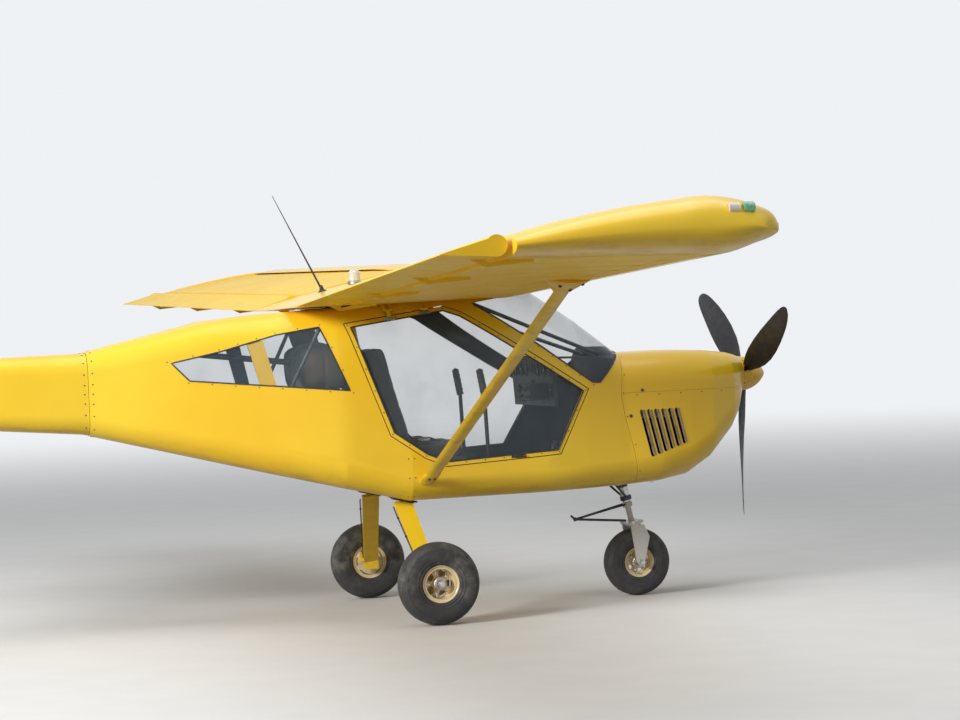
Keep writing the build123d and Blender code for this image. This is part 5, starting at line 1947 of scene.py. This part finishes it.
class ControlsOperator(bpy.types.Operator):
    """Adds the sticks' boots and grips and the pedals' ribs"""

    bl_idname = "aircraft.controls"
    bl_label = "Sticks and pedals"

    def execute(self, context):
        both(self.stick)
        self.pedals()
        return {"FINISHED"}

    def stick(self, name, side):
        floor = from_above(("cabin_floor",), 1.40, side * SEAT_Y)
        if floor is None:
            raise RuntimeError("no floor under the stick")
        foot = Vector((1.360, side * SEAT_Y, floor[0].z))
        low = Vector((STICK_X, side * SEAT_Y, STICK_TOP_Z))
        run = (low - foot).normalized()
        boot = Shape()
        profile = [(0.056, -0.002), (0.056, 0.004)]
        for fold in range(6):
            radius, along = 0.050 - 0.0062 * fold, 0.006 + 0.0135 * fold
            profile += [(radius, along), (radius - 0.0075, along + 0.0068)]
        profile += [(0.0155, 0.090), (0.0150, 0.098), (0.0112, 0.099)]
        boot.turned(profile, foot, run, 36)
        piece(f"stick_boot_{name}", boot, "seal", "airframe", 60)
        up = (Vector((1.322, side * SEAT_Y, 1.337)) - low).normalized()
        grip = Shape()
        profile = [(0.0112, -0.006), (0.0205, -0.004), (0.0215, 0.002), (0.0190, 0.006)]
        for ridge in range(4):
            along = 0.014 + ridge * 0.027
            profile += [(0.0188, along), (0.0212, along + 0.008)]
            profile += [(0.0212, along + 0.015), (0.0188, along + 0.023)]
        profile += [(0.0192, 0.126), (0.0200, 0.136), (0.0165, 0.1445), (0.008, 0.147), (0, 0.1475)]
        grip.turned(profile, low, up, 32)
        piece(f"stick_grip_{name}", grip, "seal", "airframe", 50)
        button = Shape()
        dome = [(0.0055, 0.0), (0.0055, 0.004), (0.0040, 0.0052), (0, 0.0052)]
        button.turned(dome, low + up * 0.1465, up, 20)
        piece(f"stick_button_{name}", button, "red", "airframe", 40)

    def pedals(self):
        ribs = Shape()
        for y in (-0.333, -0.173, 0.187, 0.347):
            for number in range(5):
                z = 0.812 + number * 0.019
                spot = hit(("pedals",), (1.5, y, z), (1, 0, 0))
                if spot is not None:
                    ribs.block(spot[0] + spot[1] * 0.001, (0.0045, 0.064, 0.005), 0.0014)
        if ribs.points:
            piece("pedal_ribs", ribs, "seal", "airframe", 40)


class RoofFittingsOperator(bpy.types.Operator):
    """Adds the bases of the antenna and the beacon"""

    bl_idname = "aircraft.roof_fittings"
    bl_label = "Antenna and beacon bases"

    def execute(self, context):
        low, high = box_of("antenna")
        foot = from_above(("wing_centre",), high.x - 0.008, (low.y + high.y) / 2)
        if foot is None:
            raise RuntimeError("no wing under the antenna")
        base = Shape()
        base.turned(
            [(0.0, -0.003), (0.026, -0.003), (0.026, 0.002), (0.022, 0.005), (0.014, 0.009), (0.0115, 0.022),
             (0.0095, 0.034), (0.0045, 0.038), (0.0, 0.038)],
            foot[0], foot[1], 32)
        turn = across_axis(foot[1])
        for number in range(4):
            angle = math.pi / 4 + number * math.pi / 2
            place = Vector((0.0195 * math.cos(angle), 0.0195 * math.sin(angle), 0.004))
            base.screw(foot[0] + turn @ place, foot[1], 0.003)
        piece("antenna_base", base, "seal")
        low, high = box_of("beacon")
        ring = Shape()
        middle = Vector(((low.x + high.x) / 2, (low.y + high.y) / 2, 0))
        found = from_above(("wing_centre",), middle.x + 0.045, middle.y)
        if found is not None:
            middle.z = found[0].z
            ring.turned(ring_profile(0.0300, 0.0400, -0.010, 0.007, 0.003), middle, Z_AXIS, 40)
            ring.turned(ring_profile(0.0318, 0.0336, 0.007, 0.0115, 0.0008), middle, Z_AXIS, 40)
            for number in range(6):
                angle = math.pi * number / 3
                place = Vector((0.0365 * math.cos(angle), 0.0365 * math.sin(angle), 0.0068))
                ring.screw(middle + place, Z_AXIS, 0.0024)
        piece("beacon_base", ring, "alloy")
        return {"FINISHED"}


STEPS = [
    StageOperator, FinishesOperator, TyresOperator, WheelFittingsOperator, LegFittingsOperator,
    NoseGearOperator, LouvresOperator, SealsOperator, DoorFittingsOperator, StrutFittingsOperator,
    TapesOperator, SeamScrewsOperator, LeadingEdgeOperator, PropellerOperator, SeatsOperator, BagOperator,
    PanelOperator, ControlsOperator, RoofFittingsOperator,
]
CLASSES = [AircraftPaint, AircraftSizes, AircraftStage, *STEPS]


class AircraftPanel(bpy.types.Panel):
    """Lists the steps that build the aircraft"""

    bl_idname = "VIEW3D_PT_aircraft"
    bl_label = "Aircraft"
    bl_space_type = "VIEW_3D"
    bl_region_type = "UI"
    bl_category = "Aircraft"

    def draw(self, context):
        for step in STEPS:
            self.layout.operator(step.bl_idname)


def register():
    for each in [*CLASSES, AircraftPanel]:
        bpy.utils.register_class(each)
    bpy.types.Scene.aircraft_paint = bpy.props.PointerProperty(type=AircraftPaint)
    bpy.types.Scene.aircraft_sizes = bpy.props.PointerProperty(type=AircraftSizes)
    bpy.types.Scene.aircraft_stage = bpy.props.PointerProperty(type=AircraftStage)


def unregister():
    del bpy.types.Scene.aircraft_stage
    del bpy.types.Scene.aircraft_sizes
    del bpy.types.Scene.aircraft_paint
    for each in reversed([*CLASSES, AircraftPanel]):
        bpy.utils.unregister_class(each)


def main():
    register()
    for step in STEPS:
        group, name = step.bl_idname.split(".")
        getattr(getattr(bpy.ops, group), name)()


if __name__ == "__main__":
    main()
